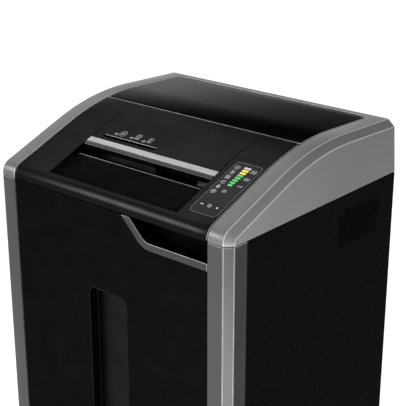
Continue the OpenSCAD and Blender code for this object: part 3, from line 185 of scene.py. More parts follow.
def draw_out(bm, vector):
    """Draws the faces out into a solid."""
    made = bmesh.ops.extrude_face_region(bm, geom=bm.faces[:])["geom"]
    bmesh.ops.translate(bm, vec=vector, verts=points_of(made))
    bmesh.ops.recalc_face_normals(bm, faces=bm.faces[:])


def thicken(bm, thickness):
    """Gives a flat sheet its wall, downwards."""
    draw_out(bm, (0, 0, -thickness))


def draw_edges(bm, edges, vector):
    """Draws edges out into faces and returns their new vertices."""
    made = points_of(bmesh.ops.extrude_edge_only(bm, edges=edges)["geom"])
    bmesh.ops.translate(bm, vec=vector, verts=made)
    return made


def lay_on_head(bm):
    """Wraps what is drawn flat round the head."""
    for v in bm.verts:
        v.co = head_point(v.co)


def standing_wall(x0, x1, y0, y1, under, foot):
    """A wall from a height over the seam up to under the skin, following the head."""
    bm = bmesh.new()
    plate(bm, x0, x1, y0, y1, height=-under)
    cut_across(bm, [y for y in NOSE_STEPS + CROWN_STEPS if y0 < y < y1])
    lay_on_head(bm)
    feet = points_of(bmesh.ops.extrude_face_region(bm, geom=bm.faces[:])["geom"])
    bmesh.ops.scale(bm, vec=(1, 1, 0), verts=feet)
    bmesh.ops.translate(bm, vec=(0, 0, foot), verts=feet)
    bmesh.ops.recalc_face_normals(bm, faces=bm.faces[:])
    return bm


def head_strip(x0, x1, y0, y1, high, low):
    """A strip that follows the head between two heights over its skin."""
    bm = bmesh.new()
    plate(bm, x0, x1, y0, y1, height=high)
    cut_across(bm, [y for y in CROWN_STEPS if y0 < y < y1])
    thicken(bm, high - low)
    lay_on_head(bm)
    return bm


def step_to(bm, here, place):
    """Goes on from a vertex to a place and returns the vertex there."""
    step = bmesh.ops.extrude_vert_indiv(bm, verts=[here])["verts"][0]
    step.co = place
    return step


def swing(bm, here, centre, axis, angle, steps):
    """Goes on from a vertex along an arc and returns its last vertex."""
    swung = bmesh.ops.spin(bm, geom=[here], cent=centre, axis=axis, angle=radians(angle), steps=steps,
                           use_duplicate=False)["geom_last"]
    return points_of(swung)[0]


def chain(bm, start, *legs):
    """A chain of edges: a leg is a point to go to, or centre y, centre z, degrees and steps of an arc."""
    here = bmesh.ops.create_vert(bm, co=start)["vert"][0]
    for leg in legs:
        if len(leg) == 4:
            here = swing(bm, here, (here.co.x, leg[0], leg[1]), (1, 0, 0), leg[2], leg[3])
        else:
            here = step_to(bm, here, leg)
    return here


def close_chain(bm):
    """Closes the only chain into a face."""
    ends = [v for v in bm.verts if len(v.link_edges) == 1]
    bmesh.ops.contextual_create(bm, geom=ends)
    bmesh.ops.contextual_create(bm, geom=bm.edges[:])


def block(bm, low, high):
    """A box between two corners."""
    made = bmesh.ops.create_cube(bm, size=1)["verts"]
    bmesh.ops.scale(bm, vec=[b - a for a, b in zip(low, high)], verts=made)
    bmesh.ops.translate(bm, vec=[(a + b) / 2 for a, b in zip(low, high)], verts=made)


def rod(bm, x0, x1, y, z, radius):
    """A round bar along X."""
    made = bmesh.ops.create_cone(bm, cap_ends=True, segments=32, radius1=radius, radius2=radius,
                                 depth=x1 - x0)["verts"]
    bmesh.ops.rotate(bm, cent=(0, 0, 0), matrix=Matrix.Rotation(pi / 2, 3, "Y"), verts=made)
    bmesh.ops.translate(bm, vec=((x0 + x1) / 2, y, z), verts=made)


def add_to(bm, part):
    """Puts a finished part into a piece and frees it."""
    store = bpy.data.meshes.new("part")
    part.to_mesh(store)
    part.free()
    bm.from_mesh(store)
    bpy.data.meshes.remove(store)


def make(name, bm, finish, body, replaced=(), place=TO_HEAD, edge=0.0, steps=3, second=None,
         third=None):
    """Turns a drawn piece into an object in the frame, with its edges broken by a fine round."""
    bmesh.ops.transform(bm, matrix=place, verts=bm.verts[:])
    for f in bm.faces:
        f.smooth = True
    mesh = bpy.data.meshes.new(name)
    bm.to_mesh(mesh)
    bm.free()
    mesh.set_sharp_from_angle(angle=SHARP)
    mesh.materials.append(finish)
    for more in (second, third):
        if more:
            mesh.materials.append(more)
    piece = bpy.data.objects.new(name, mesh)
    bpy.context.scene.collection.objects.link(piece)
    if edge:
        rounding = piece.modifiers.new("edges", "BEVEL")
        rounding.width = edge * MM
        rounding.segments = steps
        rounding.limit_method = "ANGLE"
        rounding.angle_limit = SHARP
        rounding.harden_normals = True
        rounding.use_clamp_overlap = True
    if replaced:
        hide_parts(*replaced)
    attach(piece, body)


# ---------------------------------------------------------------- finishes
def new_finish(name, colour, rough, metal=0.0, sheen=0.5, edge_tint=1.0):
    """An empty finish: the shader with its plain values, and its node tree."""
    finish = bpy.data.materials.new(name)
    finish.use_nodes = True
    tree = finish.node_tree
    shader = tree.nodes["Principled BSDF"]
    shader.inputs["Base Color"].default_value = (*colour, 1)
    shader.inputs["Roughness"].default_value = rough
    shader.inputs["Metallic"].default_value = metal
    shader.inputs["Specular IOR Level"].default_value = sheen
    shader.inputs["Specular Tint"].default_value = (edge_tint, edge_tint, edge_tint, 1)
    return finish, tree, shader


def noise(tree, size, stretch=(1, 1, 1), detail=3.0):
    """Noise whose spots are about size millimetres across."""
    place = tree.nodes.new("ShaderNodeTexCoord")
    turn = tree.nodes.new("ShaderNodeMapping")
    turn.inputs["Scale"].default_value = [s / (size * MM) for s in stretch]
    tree.links.new(place.outputs["Object"], turn.inputs["Vector"])
    spots = tree.nodes.new("ShaderNodeTexNoise")
    spots.inputs["Scale"].default_value = 1.0
    spots.inputs["Detail"].default_value = detail
    tree.links.new(turn.outputs["Vector"], spots.inputs["Vector"])
    return spots.outputs["Fac"]


def vary(tree, source, low, high, target):
    """Spreads a noise between two values on a socket."""
    spread = tree.nodes.new("ShaderNodeMapRange")
    spread.inputs["From Min"].default_value = 0.3
    spread.inputs["From Max"].default_value = 0.7
    spread.inputs["To Min"].default_value = low
    spread.inputs["To Max"].default_value = high
    tree.links.new(source, spread.inputs["Value"])
    tree.links.new(spread.outputs["Result"], target)


def tint(tree, source, dark, light, target):
    """Spreads a noise between two colours on a socket."""
    ramp = tree.nodes.new("ShaderNodeValToRGB")
    ramp.color_ramp.elements[0].position = 0.35
    ramp.color_ramp.elements[0].color = (*dark, 1)
    ramp.color_ramp.elements[1].position = 0.65
    ramp.color_ramp.elements[1].color = (*light, 1)
    tree.links.new(source, ramp.inputs["Fac"])
    tree.links.new(ramp.outputs["Color"], target)


def relief(tree, source, depth, shader):
    """Lets a noise stand out of the surface by depth millimetres."""
    bump = tree.nodes.new("ShaderNodeBump")
    bump.inputs["Strength"].default_value = 0.5
    bump.inputs["Distance"].default_value = depth * MM
    tree.links.new(source, bump.inputs["Height"])
    tree.links.new(bump.outputs["Normal"], shader.inputs["Normal"])


def grained(name, dark, light, rough, size, depth, metal=0.0, sheen=0.5, stretch=(1, 1, 1), edge_tint=1.0,
            cloud=60.0):
    """A finish with a grain: roughness and relief follow its spots, the colour drifts in clouds of them."""
    finish, tree, shader = new_finish(name, light, rough[0], metal, sheen, edge_tint)
    grain = noise(tree, size, stretch)
    tint(tree, noise(tree, size * cloud, stretch, 2.0), dark, light, shader.inputs["Base Color"])
    vary(tree, grain, rough[0], rough[1], shader.inputs["Roughness"])
    relief(tree, grain, depth, shader)
    return finish


def grey(level):
    return (level, level, level * 1.02)


def black_finish(name, dark, light, rough, size, depth, cloud=60.0, edge_tint=0.5):
    """Black lacquer whose shine stays deep at a low angle too."""
    return grained(name, grey(dark), grey(light), rough, size, depth, metal=1.0, edge_tint=edge_tint,
                   cloud=cloud)


GREY_PAINT = grained("satin_grey_paint", grey(0.125), grey(0.132), (0.28, 0.33), 0.5, 0.003, metal=0.18,
                     sheen=0.2, cloud=300)
POST_PAINT = grained("satin_grey_post_paint", grey(0.054), grey(0.058), (0.3, 0.36), 0.5, 0.003, metal=0.25,
                     sheen=0.2, cloud=300)
# The posts' side facets get this darker copy of the post grey as painted shade.
POST_SIDE_SHADE = grained("post_side_painted_shade", grey(0.02), grey(0.023), (0.34, 0.42), 0.5, 0.003,
                          metal=0.3, sheen=0.15, cloud=300)
TRIM_PAINT = grained("satin_grey_trim_paint", grey(0.04), grey(0.044), (0.3, 0.36), 0.5, 0.003, metal=0.5,
                     sheen=0.25, cloud=300)
# Lighter finishes on small rounds along creases and edges: painted highlight standing in for the light they
# catch.
POST_AND_TRIM_HIGHLIGHT = grained("post_and_trim_painted_highlight", grey(0.17), grey(0.21), (0.3, 0.4), 0.5, 0.004, metal=0.4)
HEAD_EDGE_HIGHLIGHT = grained("head_edge_painted_highlight", grey(0.3), grey(0.36), (0.3, 0.4), 0.5, 0.004, metal=0.5)
GLOSS_BLACK = black_finish("gloss_black_moulding", 0.010, 0.012, (0.2, 0.26), 0.8, 0.002)
# A darker copy of the gloss black for the lid, with less edge tint: painted shade that keeps its reflections
# down.
LID_SHADED_BLACK = black_finish("gloss_black_lid_painted_shade", 0.0078, 0.0088, (0.2, 0.26), 0.8, 0.002, edge_tint=0.44)
# Lighter finish on the rounds of the black mouldings: painted highlight.
BLACK_EDGE_HIGHLIGHT = grained("black_edge_painted_highlight", grey(0.2), grey(0.26), (0.3, 0.4), 0.8, 0.004, metal=0.5)
LIP_BLACK = grained("satin_dark_lip", grey(0.018), grey(0.024), (0.25, 0.35), 0.8, 0.002, metal=0.9)
DRAWER_BLACK = black_finish("drawer_black_moulding", 0.0048, 0.006, (0.32, 0.4), 0.8, 0.002)
PANEL_BLACK = black_finish("panel_black_powder_paint", 0.003, 0.0092, (0.5, 0.65), 2.0, 0.05, cloud=1.5)
DARK_STEEL = black_finish("black_painted_steel", 0.005, 0.009, (0.5, 0.62), 1.2, 0.02)
BLACK_PLASTIC = grained("black_fine_plastic", grey(0.010), grey(0.016), (0.42, 0.55), 0.6, 0.015, sheen=0.15)
BIN_PLASTIC = grained("bin_grained_plastic", grey(0.025), grey(0.029), (0.5, 0.62), 1.4, 0.06, sheen=0.2)
ZINC_STEEL = grained("zinc_plated_steel", (0.42, 0.42, 0.40), (0.56, 0.56, 0.54), (0.28, 0.42), 2.0, 0.01,
                     metal=1.0)
BRIGHT_STEEL = grained("rolled_bright_steel", grey(0.4), grey(0.5), (0.26, 0.38), 0.7, 0.006, metal=1.0,
                       stretch=(0.08, 1, 1))
TOOL_STEEL = grained("oiled_tool_steel", grey(0.2), grey(0.34), (0.24, 0.42), 1.5, 0.015, metal=1.0)
LIP_STEEL = grained("blackened_guide_lip", grey(0.07), grey(0.1), (0.3, 0.42), 1.5, 0.01, metal=0.9)
# Near-black for the entry guides in the throat: painted shade in that recess.
GUIDE_SHADE_BLACK = black_finish("guide_plate_painted_shade", 0.003, 0.005, (0.4, 0.5), 0.8, 0.005)
BRUSHED = grained("brushed_aluminium", grey(0.26), grey(0.36), (0.3, 0.5), 0.5, 0.02, metal=0.5,
                  stretch=(0.06, 1, 1), cloud=6)
TANK_PLASTIC = grained("milky_tank_plastic", (0.62, 0.61, 0.55), (0.72, 0.71, 0.66), (0.38, 0.5), 1.5, 0.02)
MOTOR_PAINT = grained("grey_motor_enamel", grey(0.09), grey(0.12), (0.35, 0.5), 1.2, 0.02)
BOARD_GREEN = grained("circuit_board_lacquer", (0.004, 0.06, 0.02), (0.008, 0.09, 0.03), (0.25, 0.4), 1.0,
                      0.01)
RUBBER = grained("wheel_rubber", grey(0.018), grey(0.028), (0.6, 0.75), 1.2, 0.04, sheen=0.2)
HUB_GREY = grained("hub_grey_nylon", grey(0.16), grey(0.2), (0.42, 0.54), 1.0, 0.01, sheen=0.3)
BRAKE_RED = grained("brake_red_plastic", (0.36, 0.02, 0.015), (0.45, 0.03, 0.02), (0.4, 0.5), 0.8, 0.02)
# A much darker copy of the gloss black for the scoop: painted shadow over the shelf.
SCOOP_SHADOW_BLACK = black_finish("scoop_painted_shadow_black", 0.0025, 0.0035, (0.3, 0.38), 0.8, 0.004)
RECESS_BLACK = black_finish("recess_black_plastic", 0.011, 0.014, (0.36, 0.45), 0.8, 0.01)
PANEL_GLASS = black_finish("panel_window_black", 0.017, 0.019, (0.14, 0.2), 1.0, 0.001)


def lamp_window(name, colour, glow):
    """A lit window: the colour is brightest in the middle of its fine mottle."""
    finish, tree, shader = new_finish(name, colour, 0.3)
    mottle = noise(tree, 1.5)
    tint(tree, mottle, [c * 0.8 for c in colour], colour, shader.inputs["Base Color"])
    tint(tree, mottle, [c * 0.8 for c in colour], colour, shader.inputs["Emission Color"])
    shader.inputs["Emission Strength"].default_value = glow
    return finish


GREEN_LAMP = lamp_window("lit_green_window", (0.03, 0.45, 0.07), 0.6)
AMBER_LAMP = lamp_window("lit_amber_window", (0.8, 0.62, 0.02), 0.6)
WHITE_LAMP = lamp_window("lit_white_window", (0.55, 0.55, 0.53), 0.35)
PRINT_WHITE = grained("white_panel_print", grey(0.3), grey(0.38), (0.4, 0.5), 0.4, 0.002)
PRINT_GREY = grained("grey_panel_print", grey(0.16), grey(0.2), (0.4, 0.5), 0.4, 0.002)
PRINT_GREY_LIGHT = grained("pale_slot_print", grey(0.24), grey(0.3), (0.4, 0.5), 0.4, 0.002)

CAD_FINISHES = {
    PANEL_BLACK: ["left_side_panel", "right_side_panel", "rear_panel"],
    DARK_STEEL: ["base_pan", "rear_uprights", "mechanism_tray", "cutter_frame", "motor_mount",
                 "drawer_chassis"],
    GUIDE_SHADE_BLACK: ["entry_guides"],
    ZINC_STEEL: ["panel_screws", "outer_rails", "mid_rails", "inner_rails", "caster_plates",
                 "motor_capacitor", "front_left_fork", "front_right_fork", "rear_left_fork",
                 "rear_right_fork"],
    GREY_PAINT: ["head_surround"],
    POST_PAINT: ["left_corner_post", "right_corner_post"],
    TRIM_PAINT: ["drawer_trim"],
    GLOSS_BLACK: ["front_fascia", "throat_hood", "control_overlay", "rear_lid"],
    DRAWER_BLACK: ["drawer_front"],
    RECESS_BLACK: ["handle_cup"],
    BRUSHED: ["sensor_strip"],
    BRIGHT_STEEL: ["lid_pins", "cutter_bearings"],
    TOOL_STEEL: ["front_cutter", "rear_cutter", "front_timing_gear", "rear_timing_gear", "drive_gear",
                 "idler_gear", "motor_pinion", "stripper_combs"],
    BLACK_PLASTIC: ["fan_frame", "fan_rotor", "power_entry", "switch_rocker", "drawer_sensor", "oil_cap"],
    MOTOR_PAINT: ["drive_motor"],
    BOARD_GREEN: ["control_board"],
    TANK_PLASTIC: ["oil_tank"],
    BIN_PLASTIC: ["waste_bin"],
    RUBBER: ["front_left_wheel", "front_right_wheel", "rear_left_wheel", "rear_right_wheel"],
    BRAKE_RED: ["left_brake_pedal", "right_brake_pedal"],
    GREEN_LAMP: ["green_lamps"],
    AMBER_LAMP: ["amber_lamps"],
    WHITE_LAMP: ["white_lamps"],
}
for finish, names in CAD_FINISHES.items():
    for node_name in names:
        solid = cad[node_name]
        if not solid.material_slots:
            solid.data.materials.append(finish)
        for place in solid.material_slots:
            place.material = finish


# ---------------------------------------------------------------- corner posts
POST_SHEET, POST_FLANGE, POST_FOLD, POST_TURN = 1.6, 70, 1.2, 4


def on_post_face(v):
    """Whether a vertex lies on the post's front, its bevel or its side."""
    off_bevel = abs(v.co.x - v.co.y - HALF_W + BEVEL)
    outside = v.co.y < POST_SIDE_END - 1 or v.co.x > HALF_W - TOUCH
    return outside and min(v.co.y, HALF_W - v.co.x, off_bevel) < TOUCH


def corner_post(side):
    """Bent sheet with a front facet, a bevel and a side facet, and a flange turned back inside."""
    bm = bmesh.new()
    chain(bm, (POST_IN + POST_FOLD, POST_FLANGE, POST_LOW), (POST_IN + POST_FOLD, POST_FOLD, POST_LOW),
          (POST_IN, 0, POST_LOW), (HALF_W - BEVEL, 0, POST_LOW), (HALF_W, BEVEL, POST_LOW),
          (HALF_W, POST_SIDE_END, POST_LOW), (HALF_W - POST_TURN, POST_SIDE_END, POST_LOW))
    draw_edges(bm, bm.edges[:], (0, 0, POST_TOP - POST_LOW))
    bmesh.ops.recalc_face_normals(bm, faces=bm.faces[:])
    upright = [e for e in bm.edges if not e.is_boundary]
    bmesh.ops.solidify(bm, geom=bm.faces[:], thickness=POST_SHEET)
    facet = [e for e in upright if HALF_W - BEVEL - 1 < e.verts[0].co.x and e.verts[0].co.y < BEVEL + 1]
    brow = [e for e in bm.edges if all(v.co.z > POST_TOP - TOUCH and on_post_face(v) for v in e.verts)]
    # The creases and the top edge get a painted highlight.
    painted_highlight_rounds(bm, facet + brow, POST_HIGHLIGHT_ROUND)
    # Faces of the outer side facet take the third finish, darker: painted shade.
    for f in bm.faces:
        if f.material_index == 0 and f.normal.x > 0.9 and f.calc_center_median().x > HALF_W - 0.1:
            f.material_index = 2
    if side < 0:
        bmesh.ops.scale(bm, vec=(-1, 1, 1), verts=bm.verts[:])
        bmesh.ops.reverse_faces(bm, faces=bm.faces[:])
    side_name = "right" if side > 0 else "left"
    make(side_name + "_post_skin", bm, POST_PAINT, "cabinet", [side_name + "_corner_post"], TO_CABINET,
         edge=0.35, second=POST_AND_TRIM_HIGHLIGHT, third=POST_SIDE_SHADE)


corner_post(1)
corner_post(-1)


# ---------------------------------------------------------------- head surround
EAR_T, EAR_ARM, EAR_TOP = 5, 8, HINGE_Z - 34
EAR_FRONT, EAR_REAR, EAR_HIGH = HINGE_Y - 4, HINGE_Y + 1.5, HINGE_Z + 2.4
EAR_END = DEPTH - LEAN * EAR_TOP / top_height(BACK_EDGE) - SHELL / 2


def hinge_ear(x0):
    """Bracket from the back wall that carries one end of a lid pin."""
    ear = bmesh.new()
    chain(ear, (x0, EAR_FRONT, EAR_HIGH), (x0, EAR_REAR, EAR_HIGH), (x0, EAR_REAR, EAR_TOP),
          (x0, EAR_END, EAR_TOP), (x0, EAR_END, EAR_TOP - EAR_ARM), (x0, EAR_FRONT, EAR_TOP - EAR_ARM))
    close_chain(ear)
    draw_out(ear, (EAR_T, 0, 0))
    return ear


def head_surround():
    """Cheeks, back and rear strip in one moulding, with the bevel round both cheeks."""
    bm = bmesh.new()
    plate(bm, -HALF_W, HALF_W, FRONT_EDGE - 4, BACK_EDGE + BACK_LENGTH)
    plate(bm, -POST_IN, POST_IN, FRONT_EDGE - 2, STRIP_FRONT_Y,
          [(-POST_IN, STRIP_FRONT_Y, OPENING_R), (POST_IN, STRIP_FRONT_Y, OPENING_R)])
    fill_between(bm)
    cut_across(bm, [FRONT_EDGE], clear_before=True)
    cut_across(bm, NOSE_STEPS + CROWN_STEPS + [BACK_EDGE])
    inner = rim_of(bm, lambda x, y: abs(x) < POST_IN + TOUCH and y < STRIP_FRONT_Y + TOUCH)
    lay_on_head(bm)
    for side in (-1, 1):
        rim = [e for e in bm.edges if all(abs(v.co.x - side * HALF_W) < TOUCH for v in e.verts)]
        feet = [v for v in {v for e in rim for v in e.verts} if v.co.z < TOUCH]
        foot = bmesh.ops.contextual_create(bm, geom=feet)["edges"]
        bmesh.ops.contextual_create(bm, geom=rim + foot)
        rim = [e for e in rim if any(v.co.y < BACK_EDGE - 1 for v in e.verts)]
        bevelled(bm, rim, BEVEL, 1)
    bmesh.ops.recalc_face_normals(bm, faces=bm.faces[:])
    crease = [e for e in bm.edges if len(e.link_faces) == 2
              and radians(25) < e.calc_face_angle() < radians(70)
              and all(abs(v.co.x) > POST_IN + 5 for v in e.verts)]
    bmesh.ops.solidify(bm, geom=bm.faces[:], thickness=SHELL)
    # The bevel's creases and the rim of the opening get a painted highlight.
    painted_highlight_rounds(bm, [e for e in crease + inner if e.is_valid], CHEEK_HIGHLIGHT_ROUND)
    for side in (-1, 1):
        x0, x1 = sorted((side * POST_IN, side * (POST_IN + SHELL)))
        add_to(bm, standing_wall(x0, x1, SLOPE_Y - NOSE_LENGTH, STRIP_FRONT_Y - OPENING_R - 2, SHELL / 2,
                                 0.6))
        for ear_x in (HINGE_X - 15.5, HINGE_X + 10.5):
            add_to(bm, hinge_ear(min(side * ear_x, side * (ear_x + EAR_T))))
    make("head_surround_skin", bm, GREY_PAINT, "cabinet", ["head_surround"], edge=0.8, steps=2,
         second=HEAD_EDGE_HIGHLIGHT)


head_surround()


# ---------------------------------------------------------------- rear lid
def rear_lid():
    """Cover behind the fascia, with ribs on three sides below and the two knuckles of its hinge."""
    bm = bmesh.new()
    plate(bm, -SKIN_HALF, SKIN_HALF, LID_FRONT, LID_BACK,
          [(-SKIN_HALF, LID_BACK, OPENING_R), (SKIN_HALF, LID_BACK, OPENING_R)])
    cut_across(bm, [y for y in CROWN_STEPS if LID_FRONT < y < LID_BACK])
    rim = rim_of(bm, lambda x, y: y < LID_BACK - TOUCH)
    thicken(bm, SHELL)
    lay_on_head(bm)
    # The front and side rims get a painted highlight.
    painted_highlight_rounds(bm, rim, SEAM_HIGHLIGHT_ROUND)
    rib_t, rib_low, rib_out, rib_front = 2.5, -11.5, FASCIA_HALF - 1, LID_FRONT + 12
    for x0, x1, y1 in ((-rib_out, rib_t - rib_out, EAR_FRONT), (rib_out - rib_t, rib_out, EAR_FRONT),
                       (-rib_out, rib_out, rib_front + rib_t)):
        add_to(bm, head_strip(x0, x1, rib_front, y1, 0.1 - SHELL, rib_low))
    knuckle_half, knuckle_r = 10, 4.5
    for side in (-1, 1):
        rod(bm, side * HINGE_X - knuckle_half, side * HINGE_X + knuckle_half, HINGE_Y, HINGE_Z, knuckle_r)
    make("rear_lid_skin", bm, LID_SHADED_BLACK, "lid", ["rear_lid"], edge=0.8,
         second=BLACK_EDGE_HIGHLIGHT)


rear_lid()


# ---------------------------------------------------------------- front fascia
LIP_Y, LIP_OUT, SCOOP_DEPTH, SCOOP_WALL, RIDGE_R = 84.4, -7.7, 9.5, 2.2, 6
FLARE_START, LEDGE_HALF, LEDGE_START, RIB_START = 50, 150, 118, 44


def along_slope(y, out):
    """Distance along the slope of the point at depth y, out of the slope by out."""
    return (y - SLOPE_Y + out * sin(SLOPE)) / cos(SLOPE)


LIP_S = along_slope(LIP_Y, LIP_OUT)
HOOD_FRONT, HOOD_BACK, LIP_R = 94.6, 243.5, 3.4
STRIP_S, STRIP_W, STRIP_T = 103.6, 12.6, 1.2
DISC_SLOT, SLOT_R = (-132.5, -1.5, 130.75, 137.25), 1.5
GUIDE_HALF, GUIDE_FOOT, GUIDE_TOP = 147, 43, 46.1


def scoop():
    """Dished shelf before the throat: soft ridge, floor, slanted sides that turn upright at the lip."""
    bm = bmesh.new()
    chain(bm, (-SCOOP_HALF, 0, 0), (0, -RIDGE_R, -52, 6), (-SCOOP_HALF, 11, 1.2 - SCOOP_DEPTH),
          (-SCOOP_HALF, 17, -SCOOP_DEPTH), (-SCOOP_HALF, LIP_S, LIP_OUT))
    draw_edges(bm, bm.edges[:], (2 * SCOOP_HALF, 0, 0))
    folds = [e for e in bm.edges if abs(e.verts[0].co.y - e.verts[1].co.y) < TOUCH
             and 3 < e.verts[0].co.y < 30]
    bevelled(bm, folds, 2.6, 4, clamp=True)
    cut_across(bm, [24 + 4 * i for i in range(12)])
    flare = MOUTH_HALF - SCOOP_HALF
    for side in (-1, 1):
        rim = [e for e in bm.edges if all(abs(v.co.x - side * SCOOP_HALF) < TOUCH for v in e.verts)]
        bmesh.ops.scale(bm, vec=(1, 1, 0), verts=draw_edges(bm, rim, (side * flare, 0, 0)))
        for v in bm.verts:
            if abs(v.co.x - side * SCOOP_HALF) < TOUCH and v.co.y > FLARE_START:
                share = min(1, (v.co.y - FLARE_START) / (LIP_S - 4 - FLARE_START))
                v.co.x += side * flare * share * share * (3 - 2 * share)
    bmesh.ops.remove_doubles(bm, verts=bm.verts[:], dist=0.05)
    bmesh.ops.recalc_face_normals(bm, faces=bm.faces[:])
    if sum(f.normal.z for f in bm.faces) < 0:
        bmesh.ops.reverse_faces(bm, faces=bm.faces[:])
    bmesh.ops.solidify(bm, geom=bm.faces[:], thickness=SCOOP_WALL)
    for side in (-1, 1):
        x0, x1 = sorted((side * MOUTH_HALF, side * (MOUTH_HALF + SHELL)))
        block(bm, (x0, LIP_S - 6, -26), (x1, HOOD_FRONT + 6, -0.6))
    bmesh.ops.transform(bm, matrix=SLOPE_ON_HEAD, verts=bm.verts[:])
    return bm


def front_fascia():
    """Gloss skin round the nose and up to the lid, with its ledge, guides and standing ribs below."""
    bm = bmesh.new()
    plate(bm, -SKIN_HALF, SKIN_HALF, FRONT_EDGE - 4, FASCIA_END,
          [(-SKIN_HALF, FASCIA_END, FASCIA_R), (SKIN_HALF, FASCIA_END, FASCIA_R)])
    plate(bm, -MOUTH_HALF, MOUTH_HALF, SLOPE_Y, HOOD_BACK + GAP)
    fill_between(bm)
    cut_across(bm, [FRONT_EDGE], clear_before=True)
    cut_across(bm, NOSE_STEPS + [y for y in CROWN_STEPS if y < FASCIA_END])
    rim = rim_of(bm, lambda x, y: abs(x) > SKIN_HALF - FASCIA_R - 0.1
                 and FRONT_EDGE + TOUCH < y < FASCIA_END - TOUCH)
    thicken(bm, SHELL)
    lay_on_head(bm)
    # The rim beside the cheeks and up to the lid gets a painted highlight.
    painted_highlight_rounds(bm, rim, SEAM_HIGHLIGHT_ROUND)
    lid_ledge, hood_ledge = (-3.4, -5.9), (-3.1, -5.5)
    add_to(bm, head_strip(5 - FASCIA_HALF, FASCIA_HALF - 5, FASCIA_END - 4, FASCIA_END + 8, *lid_ledge))
    for side in (-1, 1):
        x0, x1 = sorted((side * LEDGE_HALF, side * (MOUTH_HALF + SHELL)))
        add_to(bm, head_strip(x0, x1, LEDGE_START, HOOD_BACK + 2.5, *hood_ledge))
        x0, x1 = sorted((side * (FASCIA_HALF - 4), side * (FASCIA_HALF - 0.6)))
        add_to(bm, standing_wall(x0, x1, RIB_START, FASCIA_END - 30, SHELL - 0.1, 0.05))
    make("front_fascia_skin", bm, GLOSS_BLACK, "cabinet", ["front_fascia"], edge=0.7,
         second=BLACK_EDGE_HIGHLIGHT)
    # The scoop takes a darker black than the fascia: painted shadow.
    make("throat_scoop_skin", scoop(), SCOOP_SHADOW_BLACK, "cabinet", edge=0.7)


front_fascia()


# ---------------------------------------------------------------- hood over the throat
def throat_hood():
    """Hood skin with the disc slot, the floor under the bright strip and the round lip over the throat."""
    bm = bmesh.new()
    half = HOOD_HALF - SEAM_ROUND
    rear_edge = SLOPE_Y + (STRIP_S + STRIP_W + 0.1) * cos(SLOPE)
    plate(bm, -half, half, rear_edge, HOOD_BACK)
    rounded_plate(bm, *DISC_SLOT, SLOT_R)
    fill_between(bm)
    cut_across(bm, [y for y in CROWN_STEPS if y < HOOD_BACK])
    slot_rear = rim_of(bm, lambda x, y: abs(y - DISC_SLOT[3]) < 0.25)
    thicken(bm, SHELL)
    lay_on_head(bm)
    # The rear edge of the disc slot gets a painted highlight, so it reads lit.
    painted_highlight_rounds(bm, slot_rear, SLOT_HIGHLIGHT_ROUND)
    floor = bmesh.new()
    block(floor, (-half, STRIP_S - 3, -3), (half, STRIP_S + STRIP_W + 0.3, -1.25))
    bmesh.ops.transform(floor, matrix=SLOPE_ON_HEAD, verts=floor.verts[:])
    add_to(bm, floor)
    make("throat_hood_skin", bm, GLOSS_BLACK, "cabinet", ["throat_hood"], edge=0.6, steps=2,
         second=BLACK_EDGE_HIGHLIGHT)
    hood_lip(half)
    throat_metal()


def hood_lip(half):
    """Rolled lip that turns from the hood down into the throat."""
    lip = bmesh.new()
    chain(lip, (-half, HOOD_FRONT, -8), (-half, HOOD_FRONT, -LIP_R), (HOOD_FRONT + LIP_R, -LIP_R, -90, 8),
          (-half, STRIP_S - 0.1, 0), (-half, STRIP_S - 0.1, -3), (-half, HOOD_FRONT + 5, -3),
          (-half, HOOD_FRONT + 5, -13), (-half, HOOD_FRONT + 2, -14))
    close_chain(lip)
    draw_out(lip, (2 * half, 0, 0))
    make("throat_hood_lip", lip, LIP_BLACK, "cabinet", place=TO_SLOPE, edge=0.35)


def throat_metal():
    """Bright strip let into the hood, and the rolled edge of the front guide."""
    strip = bmesh.new()
    block(strip, (-HOOD_HALF, STRIP_S, -STRIP_T), (HOOD_HALF, STRIP_S + STRIP_W, 0))
    make("bright_sensor_strip", strip, BRUSHED, "cabinet", ["sensor_strip"], TO_SLOPE, edge=0.3)

    guide = bmesh.new()
    front, rear, broken = LIP_Y - 0.1, LIP_Y + 1.8, 0.5
    chain(guide, (-GUIDE_HALF, front, GUIDE_FOOT), (-GUIDE_HALF, front, GUIDE_TOP - broken),
          (-GUIDE_HALF, front + broken, GUIDE_TOP), (-GUIDE_HALF, rear - 0.8 * broken, GUIDE_TOP),
          (-GUIDE_HALF, rear, GUIDE_TOP - broken), (-GUIDE_HALF, rear, GUIDE_FOOT))
    close_chain(guide)
    draw_out(guide, (2 * GUIDE_HALF, 0, 0))
    make("throat_guide_lip", guide, LIP_STEEL, "cabinet", edge=0.2)


throat_hood()


# ---------------------------------------------------------------- control panel
PANEL_FACE = (PANEL_X - PANEL_W / 2, PANEL_X + PANEL_W / 2, PANEL_START, PANEL_START + PANEL_L)
PANEL_LINE, LAMP_LEFT, LAMP_S, LAMP_PITCH = 0.6, PANEL_X - 5.4, 93, 6.8
LAMP_SHORT, LAMP_LONG, LAMP_HALF, LAMP_R = 9, 13.6, 2.3, 0.7
KEY_S, KEY_SPACING = 35.5, 16
MARK_COLUMN, STATE_COLUMN = PANEL_X - 19, PANEL_X + 17.5
PANEL_MARKS = (("jam", MARK_COLUMN, 137.6), ("bin", MARK_COLUMN, 123.4), ("door", MARK_COLUMN, 110.3),
               ("paper", MARK_COLUMN, 96.1), ("oil", MARK_COLUMN, 83.7), ("cool", MARK_COLUMN, 70.0),
               ("sheets", STATE_COLUMN, 135.9), ("card", STATE_COLUMN, 115.3), ("sheet", STATE_COLUMN, 95.6),
               ("stack", PANEL_X, 76))


